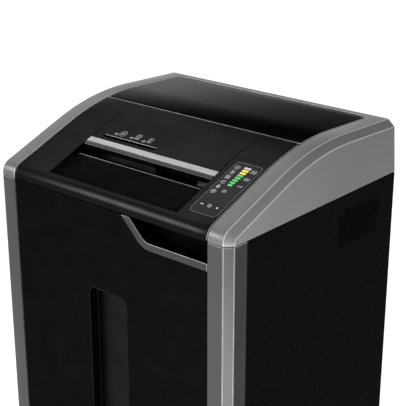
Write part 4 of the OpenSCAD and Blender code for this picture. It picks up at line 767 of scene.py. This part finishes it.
def ring(bm, x, s, radius, inner, segments=32):
    """A flat printed disc, or a ring where it has an inner radius."""
    made = bmesh.ops.create_circle(bm, cap_ends=True, segments=segments, radius=radius)["verts"]
    bmesh.ops.translate(bm, vec=(x, s, 0), verts=made)
    if inner:
        core = made[0].link_faces[0]
        bmesh.ops.inset_region(bm, faces=[core], thickness=radius - inner, use_boundary=True,
                               use_even_offset=True)
        bmesh.ops.delete(bm, geom=[core], context="FACES_ONLY")


def bar(bm, x, s, w, h, turn=0.0):
    """A flat printed bar."""
    made = bmesh.ops.create_grid(bm, x_segments=1, y_segments=1, size=0.5)["verts"]
    bmesh.ops.scale(bm, vec=(w, h, 1), verts=made)
    bmesh.ops.rotate(bm, cent=(0, 0, 0), matrix=Matrix.Rotation(radians(turn), 3, "Z"), verts=made)
    bmesh.ops.translate(bm, vec=(x, s, 0), verts=made)


def tip(bm, x, s, size, turn=0.0):
    """A flat printed arrow head that points along +X before its turn."""
    made = bmesh.ops.create_circle(bm, cap_ends=True, segments=3, radius=size)["verts"]
    bmesh.ops.rotate(bm, cent=(0, 0, 0), matrix=Matrix.Rotation(radians(turn - 90), 3, "Z"), verts=made)
    bmesh.ops.translate(bm, vec=(x, s, 0), verts=made)


def page(bm, x, s, w, h, line=1.1):
    """The outline of a sheet of paper."""
    for dx in (-1, 1):
        bar(bm, x + dx * (w - line) / 2, s, line, h)
    for ds in (-1, 1):
        bar(bm, x, s + ds * (h - line) / 2, w - 2 * line, line)


def state_mark(bm, kind, x, s):
    """One of the small marks beside the lamps."""
    if kind == "jam":
        ring(bm, x, s, 5.4, 4.2)
        bar(bm, x, s, 8.0, 1.3, 40)
        bar(bm, x, s, 1.3, 5.0, 40)
    elif kind == "bin":
        page(bm, x, s - 0.6, 6.4, 7.6, 1.4)
        bar(bm, x, s + 4.4, 8.6, 1.2)
        bar(bm, x, s - 0.6, 1.2, 5.0)
    elif kind == "door":
        page(bm, x, s, 9.0, 8.6, 1.8)
        bar(bm, x, s, 3.6, 4.4)
    elif kind == "paper":
        page(bm, x + 1.4, s, 7.0, 8.4)
        bar(bm, x - 3.4, s, 3.0, 1.2)
        tip(bm, x - 0.4, s, 2.6)
    elif kind == "oil":
        ring(bm, x, s - 1.0, 3.9, 0)
        tip(bm, x, s + 3.2, 3.4, 90)
    elif kind == "cool":
        ring(bm, x, s, 5.2, 4.1)
        ring(bm, x, s + 0.4, 2.6, 0)
    elif kind == "stack":
        for step in range(3):
            bar(bm, x, s - 2.6 + 2.6 * step, 9.6 - 1.2 * step, 1.3)
    elif kind == "sheets":
        page(bm, x, s, 11.0, 8.4, 1.3)
        bar(bm, x, s, 6.0, 3.0)
    elif kind == "card":
        page(bm, x, s, 11.0, 6.2, 1.2)
        bar(bm, x, s, 6.6, 1.6)
    elif kind == "sheet":
        bar(bm, x, s, 9.6, 1.7)
        bar(bm, x + 3.2, s + 1.8, 4.0, 1.2, 25)


def printed(name, bm, finish):
    """Gives flat print its hair of thickness and puts it on the panel."""
    draw_out(bm, (0, 0, PRINT_T))
    bmesh.ops.translate(bm, vec=(0, 0, PANEL_PROUD), verts=bm.verts[:])
    make(name, bm, finish, "cabinet", place=TO_SLOPE)


def control_panel():
    """Black window with its printed outline and marks."""
    bm = bmesh.new()
    rounded_plate(bm, *PANEL_FACE, PANEL_R)
    thicken(bm, WINDOW_T)
    bmesh.ops.translate(bm, vec=(0, 0, PANEL_PROUD), verts=bm.verts[:])
    make("control_panel_window", bm, PANEL_GLASS, "cabinet", ["control_overlay"], TO_SLOPE, edge=0.08)

    outline = bmesh.new()
    rounded_plate(outline, *PANEL_FACE, PANEL_R)
    x0, x1, s0, s1 = PANEL_FACE
    rounded_plate(outline, x0 + PANEL_LINE, x1 - PANEL_LINE, s0 + PANEL_LINE, s1 - PANEL_LINE,
                  PANEL_R - PANEL_LINE)
    fill_between(outline)
    printed("control_panel_outline", outline, PRINT_GREY)

    marks = bmesh.new()
    for kind, x, s in PANEL_MARKS:
        state_mark(marks, kind, x, s)
    printed("control_panel_marks", marks, PRINT_WHITE)


def lamp_windows(colour, finish, rows):
    """The lit windows of one colour, each a little longer than the one below it."""
    lamps = bmesh.new()
    for row in rows:
        length = LAMP_SHORT + (LAMP_LONG - LAMP_SHORT) * row / 7
        s = LAMP_S + LAMP_PITCH * row
        rounded_plate(lamps, LAMP_LEFT, LAMP_LEFT + length, s - LAMP_HALF, s + LAMP_HALF, LAMP_R)
    if colour == "white":
        bar(lamps, PANEL_X - KEY_SPACING, KEY_S, 6, 1.8)
        ring(lamps, PANEL_X, KEY_S, 3.4, 2.5, 40)
        ring(lamps, PANEL_X + KEY_SPACING, KEY_S, 1.9, 0)
    draw_out(lamps, (0, 0, LAMP_T))
    bmesh.ops.translate(lamps, vec=(0, 0, PANEL_PROUD), verts=lamps.verts[:])
    make(colour + "_lamp_windows", lamps, finish, "cabinet", [colour + "_lamps"], TO_SLOPE)


control_panel()
lamp_windows("green", GREEN_LAMP, range(0, 5))
lamp_windows("amber", AMBER_LAMP, range(5, 7))
lamp_windows("white", WHITE_LAMP, range(7, 8))


def slot_marks():
    """Three marks behind the disc slot: an arrow beside a disc, a card and a sheet."""
    marks = bmesh.new()
    for x in (-110, -72, -41):
        tip(marks, x + 1.6, 145, 4.0, 12)
        bar(marks, x - 2.4, 144.4, 3.4, 1.6, 12)
    ring(marks, -96, 149.5, 7.6, 6.3, 40)
    ring(marks, -96, 149.5, 3.0, 1.2)
    bar(marks, -96, 149.5, 11.5, 1.3, 35)
    page(marks, -59.5, 151, 10.4, 13.4, 1.3)
    for step in (-3.4, 0, 3.4):
        bar(marks, -59.5, 151 + step, 8.0, 1.1, 20)
    page(marks, -28.5, 150.5, 8.6, 12.6, 1.2)
    bar(marks, -30.4, 150.0, 2.2, 10.4, -12)
    draw_out(marks, (0, 0, PRINT_T))
    cut_across(marks, [y for y in CROWN_STEPS if 138 < y < 162])
    lay_on_head(marks)
    make("disc_slot_marks", marks, PRINT_GREY_LIGHT, "cabinet")


slot_marks()


# ---------------------------------------------------------------- drawer
FRONT_HALF, FRONT_LOW, FRONT_TOP = 232.7, 118, SEAM - 3
SETBACK, FRONT_T, FRONT_SKIN = 1.5, 18, 3
NOTCH_X, NOTCH_DROP, NOTCH_R, TRIM_W = 36.9, 52.4, 40, 13
HANDLE = (-45.5, 45.5, 447, 747)
HANDLE_R, HANDLE_D, CUP_T, CUP_GAP = 15, 20.3, 2, 0.2
TRIM_T, TRIM_PROUD = 3.6, 0.6
TO_FRONT = TO_CABINET @ Matrix.Translation((0, SETBACK, 0)) @ Matrix.Rotation(pi / 2, 4, "X")


def notch_run(bm, start, off, end):
    """Runs from start down the slanted part, round the bend and on to end, off inside the outer edge."""
    centre_x, centre_z = NOTCH_X + NOTCH_R * (sqrt(2) - 1) + NOTCH_DROP, SEAM + NOTCH_R - NOTCH_DROP
    bend = (NOTCH_R - off) * sqrt(0.5)
    knee_x, knee_z = centre_x - bend, centre_z - bend
    here = step_to(bm, start, (knee_x - start.co.y + knee_z, start.co.y, 0))
    here = step_to(bm, here, (knee_x, knee_z, 0))
    here = swing(bm, here, (centre_x, centre_z, 0), (0, 0, 1), 45, 9)
    step_to(bm, here, (end, SEAM - NOTCH_DROP + off, 0))


def trim_edge(edge):
    """Whether an edge of the trim borders the opening above it."""
    wall = [f for f in edge.link_faces if abs(f.normal.z) < 0.5][0]
    return wall.normal.y > 0.3 or wall.normal.x > 0.5 and wall.normal.y > -0.3


def drawer_front():
    """Skin with the opening for the handle recess and the notch, and a backing with two pockets."""
    bm = bmesh.new()
    corner = chain(bm, (FRONT_HALF, FRONT_LOW, 0), (-FRONT_HALF, FRONT_LOW, 0), (-FRONT_HALF, FRONT_TOP, 0))
    notch_run(bm, corner, TRIM_W, FRONT_HALF)
    close_chain(bm)
    x0, x1, z0, z1 = HANDLE
    grow = CUP_T + CUP_GAP
    rounded_plate(bm, x0 - grow, x1 + grow, z0 - grow, z1 + grow, HANDLE_R + grow)
    backing = bm.copy()
    wall = FRONT_SKIN + grow + 6
    for pocket in ((-FRONT_HALF + FRONT_SKIN, x0 - wall, FRONT_LOW + 2 * FRONT_SKIN, FRONT_TOP - FRONT_SKIN),
                   (x1 + wall, FRONT_HALF - FRONT_SKIN, FRONT_LOW + 2 * FRONT_SKIN,
                    SEAM - NOTCH_DROP - 2 * FRONT_SKIN)):
        plate(backing, *pocket)
    for layer, depth, start in ((bm, FRONT_SKIN, 0), (backing, FRONT_T - FRONT_SKIN, -FRONT_SKIN)):
        fill_between(layer)
        thicken(layer, depth)
        bmesh.ops.translate(layer, vec=(0, 0, start), verts=layer.verts[:])
    add_to(bm, backing)
    make("drawer_front_skin", bm, DRAWER_BLACK, "drawer", ["drawer_front"], TO_FRONT, edge=0.8)


def handle_cup():
    """Recess that the fingers reach into."""
    x0, x1, z0, z1 = HANDLE
    cup = bmesh.new()
    rounded_plate(cup, x0 - CUP_T, x1 + CUP_T, z0 - CUP_T, z1 + CUP_T, HANDLE_R + CUP_T)
    thicken(cup, HANDLE_D + CUP_T)
    face = max(cup.faces, key=lambda f: f.calc_center_median().z)
    bmesh.ops.inset_region(cup, faces=[face], thickness=CUP_T, use_even_offset=True)
    made = bmesh.ops.extrude_face_region(cup, geom=[face])["geom"]
    bmesh.ops.delete(cup, geom=[face], context="FACES")
    bmesh.ops.translate(cup, vec=(0, 0, -HANDLE_D), verts=points_of(made))
    bmesh.ops.recalc_face_normals(cup, faces=cup.faces[:])
    make("handle_cup_skin", cup, RECESS_BLACK, "drawer", ["handle_cup"], TO_FRONT, edge=0.7)


def drawer_trim():
    """Grey band that borders the notch, with a painted highlight along its upper edge."""
    trim = bmesh.new()
    for off in (0, TRIM_W):
        first = bmesh.ops.create_vert(trim, co=(0, FRONT_TOP, 0))["vert"][0]
        notch_run(trim, first, off, FRONT_HALF)
        bmesh.ops.delete(trim, geom=[first], context="VERTS")
    bmesh.ops.bridge_loops(trim, edges=trim.edges[:])
    bmesh.ops.recalc_face_normals(trim, faces=trim.faces[:])
    draw_out(trim, (0, 0, -TRIM_T))
    bmesh.ops.translate(trim, vec=(0, 0, TRIM_PROUD), verts=trim.verts[:])
    brow = [e for e in trim.edges if all(v.co.z > TRIM_PROUD - TOUCH for v in e.verts)
            and any(abs(f.normal.z) < 0.5 for f in e.link_faces) and trim_edge(e)]
    # The upper edge gets a painted highlight.
    painted_highlight_rounds(trim, brow, SEAM_HIGHLIGHT_ROUND)
    make("drawer_trim_band", trim, TRIM_PAINT, "drawer", ["drawer_trim"], TO_FRONT, edge=0.6,
         second=POST_AND_TRIM_HIGHLIGHT)


drawer_front()
handle_cup()
drawer_trim()


# ---------------------------------------------------------------- wheels
WHEEL_R, WHEEL_HALF, BORE_R, BOSS_R, TREAD_ROUND = 30, 11, 5.1, 12, 4
DISH_R, DISH_DEPTH = 22.5, 3


def caster_wheel(corner_name):
    """Rubber tyre round a grey hub with a dished web; the section is drawn beside the axle and spun."""
    bm = bmesh.new()
    left_side = [(BORE_R, 0), (BOSS_R, 0), (BOSS_R + 2, DISH_DEPTH), (22, DISH_DEPTH), (23, 1), (24.5, 0),
                 (WHEEL_R, 0)]
    section = [(sunk - WHEEL_HALF, radius, 0) for radius, sunk in left_side]
    section += [(WHEEL_HALF - sunk, radius, 0) for radius, sunk in reversed(left_side)]
    chain(bm, *section)
    bmesh.ops.contextual_create(bm, geom=[v for v in bm.verts if len(v.link_edges) == 1])
    bevelled(bm, [v for v in bm.verts if v.co.y > WHEEL_R - TOUCH], TREAD_ROUND, 5, "VERTICES")
    bmesh.ops.spin(bm, geom=bm.verts[:] + bm.edges[:], cent=(0, 0, 0), axis=(1, 0, 0), angle=2 * pi, steps=64,
                   use_merge=True, use_duplicate=False)
    bmesh.ops.remove_doubles(bm, verts=bm.verts[:], dist=0.001)
    bmesh.ops.recalc_face_normals(bm, faces=bm.faces[:])
    for f in bm.faces:
        centre = f.calc_center_median()
        if Vector((centre.y, centre.z)).length < DISH_R:
            f.material_index = 1
    low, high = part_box(corner_name + "_wheel")
    to_axle = Matrix.Translation((Vector(low) + Vector(high)) / 2) @ Matrix.Scale(MM, 4)
    make(corner_name + "_tyre_and_hub", bm, RUBBER, corner_name + "_roller", [corner_name + "_wheel"],
         to_axle, edge=0.3, second=HUB_GREY)


for corner_name in ("front_left", "front_right", "rear_left", "rear_right"):
    caster_wheel(corner_name)


# ---------------------------------------------------------------- floor, light and camera
LIGHT_LEVEL, BACKGROUND_LEVEL, FLOOR_GLOW = 0.3, 1.0, 0.9
LENS, EYE, LOOK_DOWN, LOOK_LEFT = 98.69, (1294.2, -1245.7, 690.6), 20.88, 40.63


def floor_finish():
    """Pale floor that keeps the shadow and is white where the camera sees it bare."""
    finish, tree, shader = new_finish("pale_studio_floor", (0.85, 0.85, 0.85), 0.7)
    add = tree.nodes.new("ShaderNodeAddShader")
    glow = tree.nodes.new("ShaderNodeEmission")
    glow.inputs["Strength"].default_value = FLOOR_GLOW
    pale = tree.nodes.new("ShaderNodeBsdfDiffuse")
    pale.inputs["Color"].default_value = (0.5, 0.5, 0.5, 1)
    tree.links.new(glow.outputs["Emission"], add.inputs[0])
    tree.links.new(pale.outputs["BSDF"], add.inputs[1])
    mix = tree.nodes.new("ShaderNodeMixShader")
    tree.links.new(seen_directly(tree), mix.inputs["Fac"])
    tree.links.new(shader.outputs["BSDF"], mix.inputs[1])
    tree.links.new(add.outputs["Shader"], mix.inputs[2])
    tree.links.new(mix.outputs["Shader"], tree.nodes["Material Output"].inputs["Surface"])
    return finish


def seen_directly(tree):
    """One for the rays that show the background, by sight, in a gloss or through glass."""
    path = tree.nodes.new("ShaderNodeLightPath")
    total = path.outputs["Is Camera Ray"]
    for ray in ("Is Glossy Ray", "Is Transmission Ray"):
        most = tree.nodes.new("ShaderNodeMath")
        most.operation = "MAXIMUM"
        tree.links.new(total, most.inputs[0])
        tree.links.new(path.outputs[ray], most.inputs[1])
        total = most.outputs[0]
    return total


def studio():
    bm = bmesh.new()
    bmesh.ops.create_grid(bm, x_segments=8, y_segments=8, size=60)
    mesh = bpy.data.meshes.new("studio_floor")
    bm.to_mesh(mesh)
    bm.free()
    mesh.materials.append(floor_finish())
    floor = bpy.data.objects.new("studio_floor", mesh)
    bpy.context.scene.collection.objects.link(floor)
    floor.location.z = cad_box[0][2]

    world = bpy.data.worlds.new("studio")
    bpy.context.scene.world = world
    world.use_nodes = True
    tree = world.node_tree
    back = tree.nodes["Background"]
    back.inputs["Color"].default_value = (1, 1, 1, 1)
    level = tree.nodes.new("ShaderNodeMapRange")
    level.inputs["To Min"].default_value = LIGHT_LEVEL
    level.inputs["To Max"].default_value = BACKGROUND_LEVEL
    tree.links.new(seen_directly(tree), level.inputs["Value"])
    tree.links.new(level.outputs["Result"], back.inputs["Strength"])


def soft_box(name, place, aim, size, power, in_gloss=True):
    """A soft lamp at a place, aimed at a point; in_gloss tells whether glossy pieces mirror it."""
    light = bpy.data.lights.new(name, "AREA")
    light.shape = "RECTANGLE"
    light.size, light.size_y = size
    light.energy = power
    box = bpy.data.objects.new(name, light)
    box.location = place
    box.visible_camera = False
    box.visible_glossy = in_gloss
    box.rotation_euler = (Vector(aim) - Vector(place)).to_track_quat("-Z", "Y").to_euler()
    bpy.context.scene.collection.objects.link(box)


def camera():
    lens = bpy.data.cameras.new("view")
    lens.lens, lens.sensor_width = LENS, 36
    eye = bpy.data.objects.new("view", lens)
    eye.location = TO_HEAD @ Vector(EYE)
    eye.rotation_euler = (radians(90 - LOOK_DOWN), 0, radians(LOOK_LEFT))
    bpy.context.scene.collection.objects.link(eye)
    bpy.context.scene.camera = eye


studio()
soft_box("front_box", (-1.45, -1.85, 1.7), (0, -0.2, 0.9), (1.5, 0.9), 38)
soft_box("top_box", (-1.5, 0.5, 2.75), (0, 0, 0.95), (1.8, 1.8), 12)
soft_box("near_box", (0.98, -0.78, 0.9), (0.28, -0.1, 0.85), (0.4, 0.4), 11.5, in_gloss=False)
soft_box("low_box", (1.1, -0.98, 0.3), (0.28, -0.24, 0.6), (0.6, 0.6), 10)
camera()
bpy.context.scene.view_settings.view_transform = "Standard"
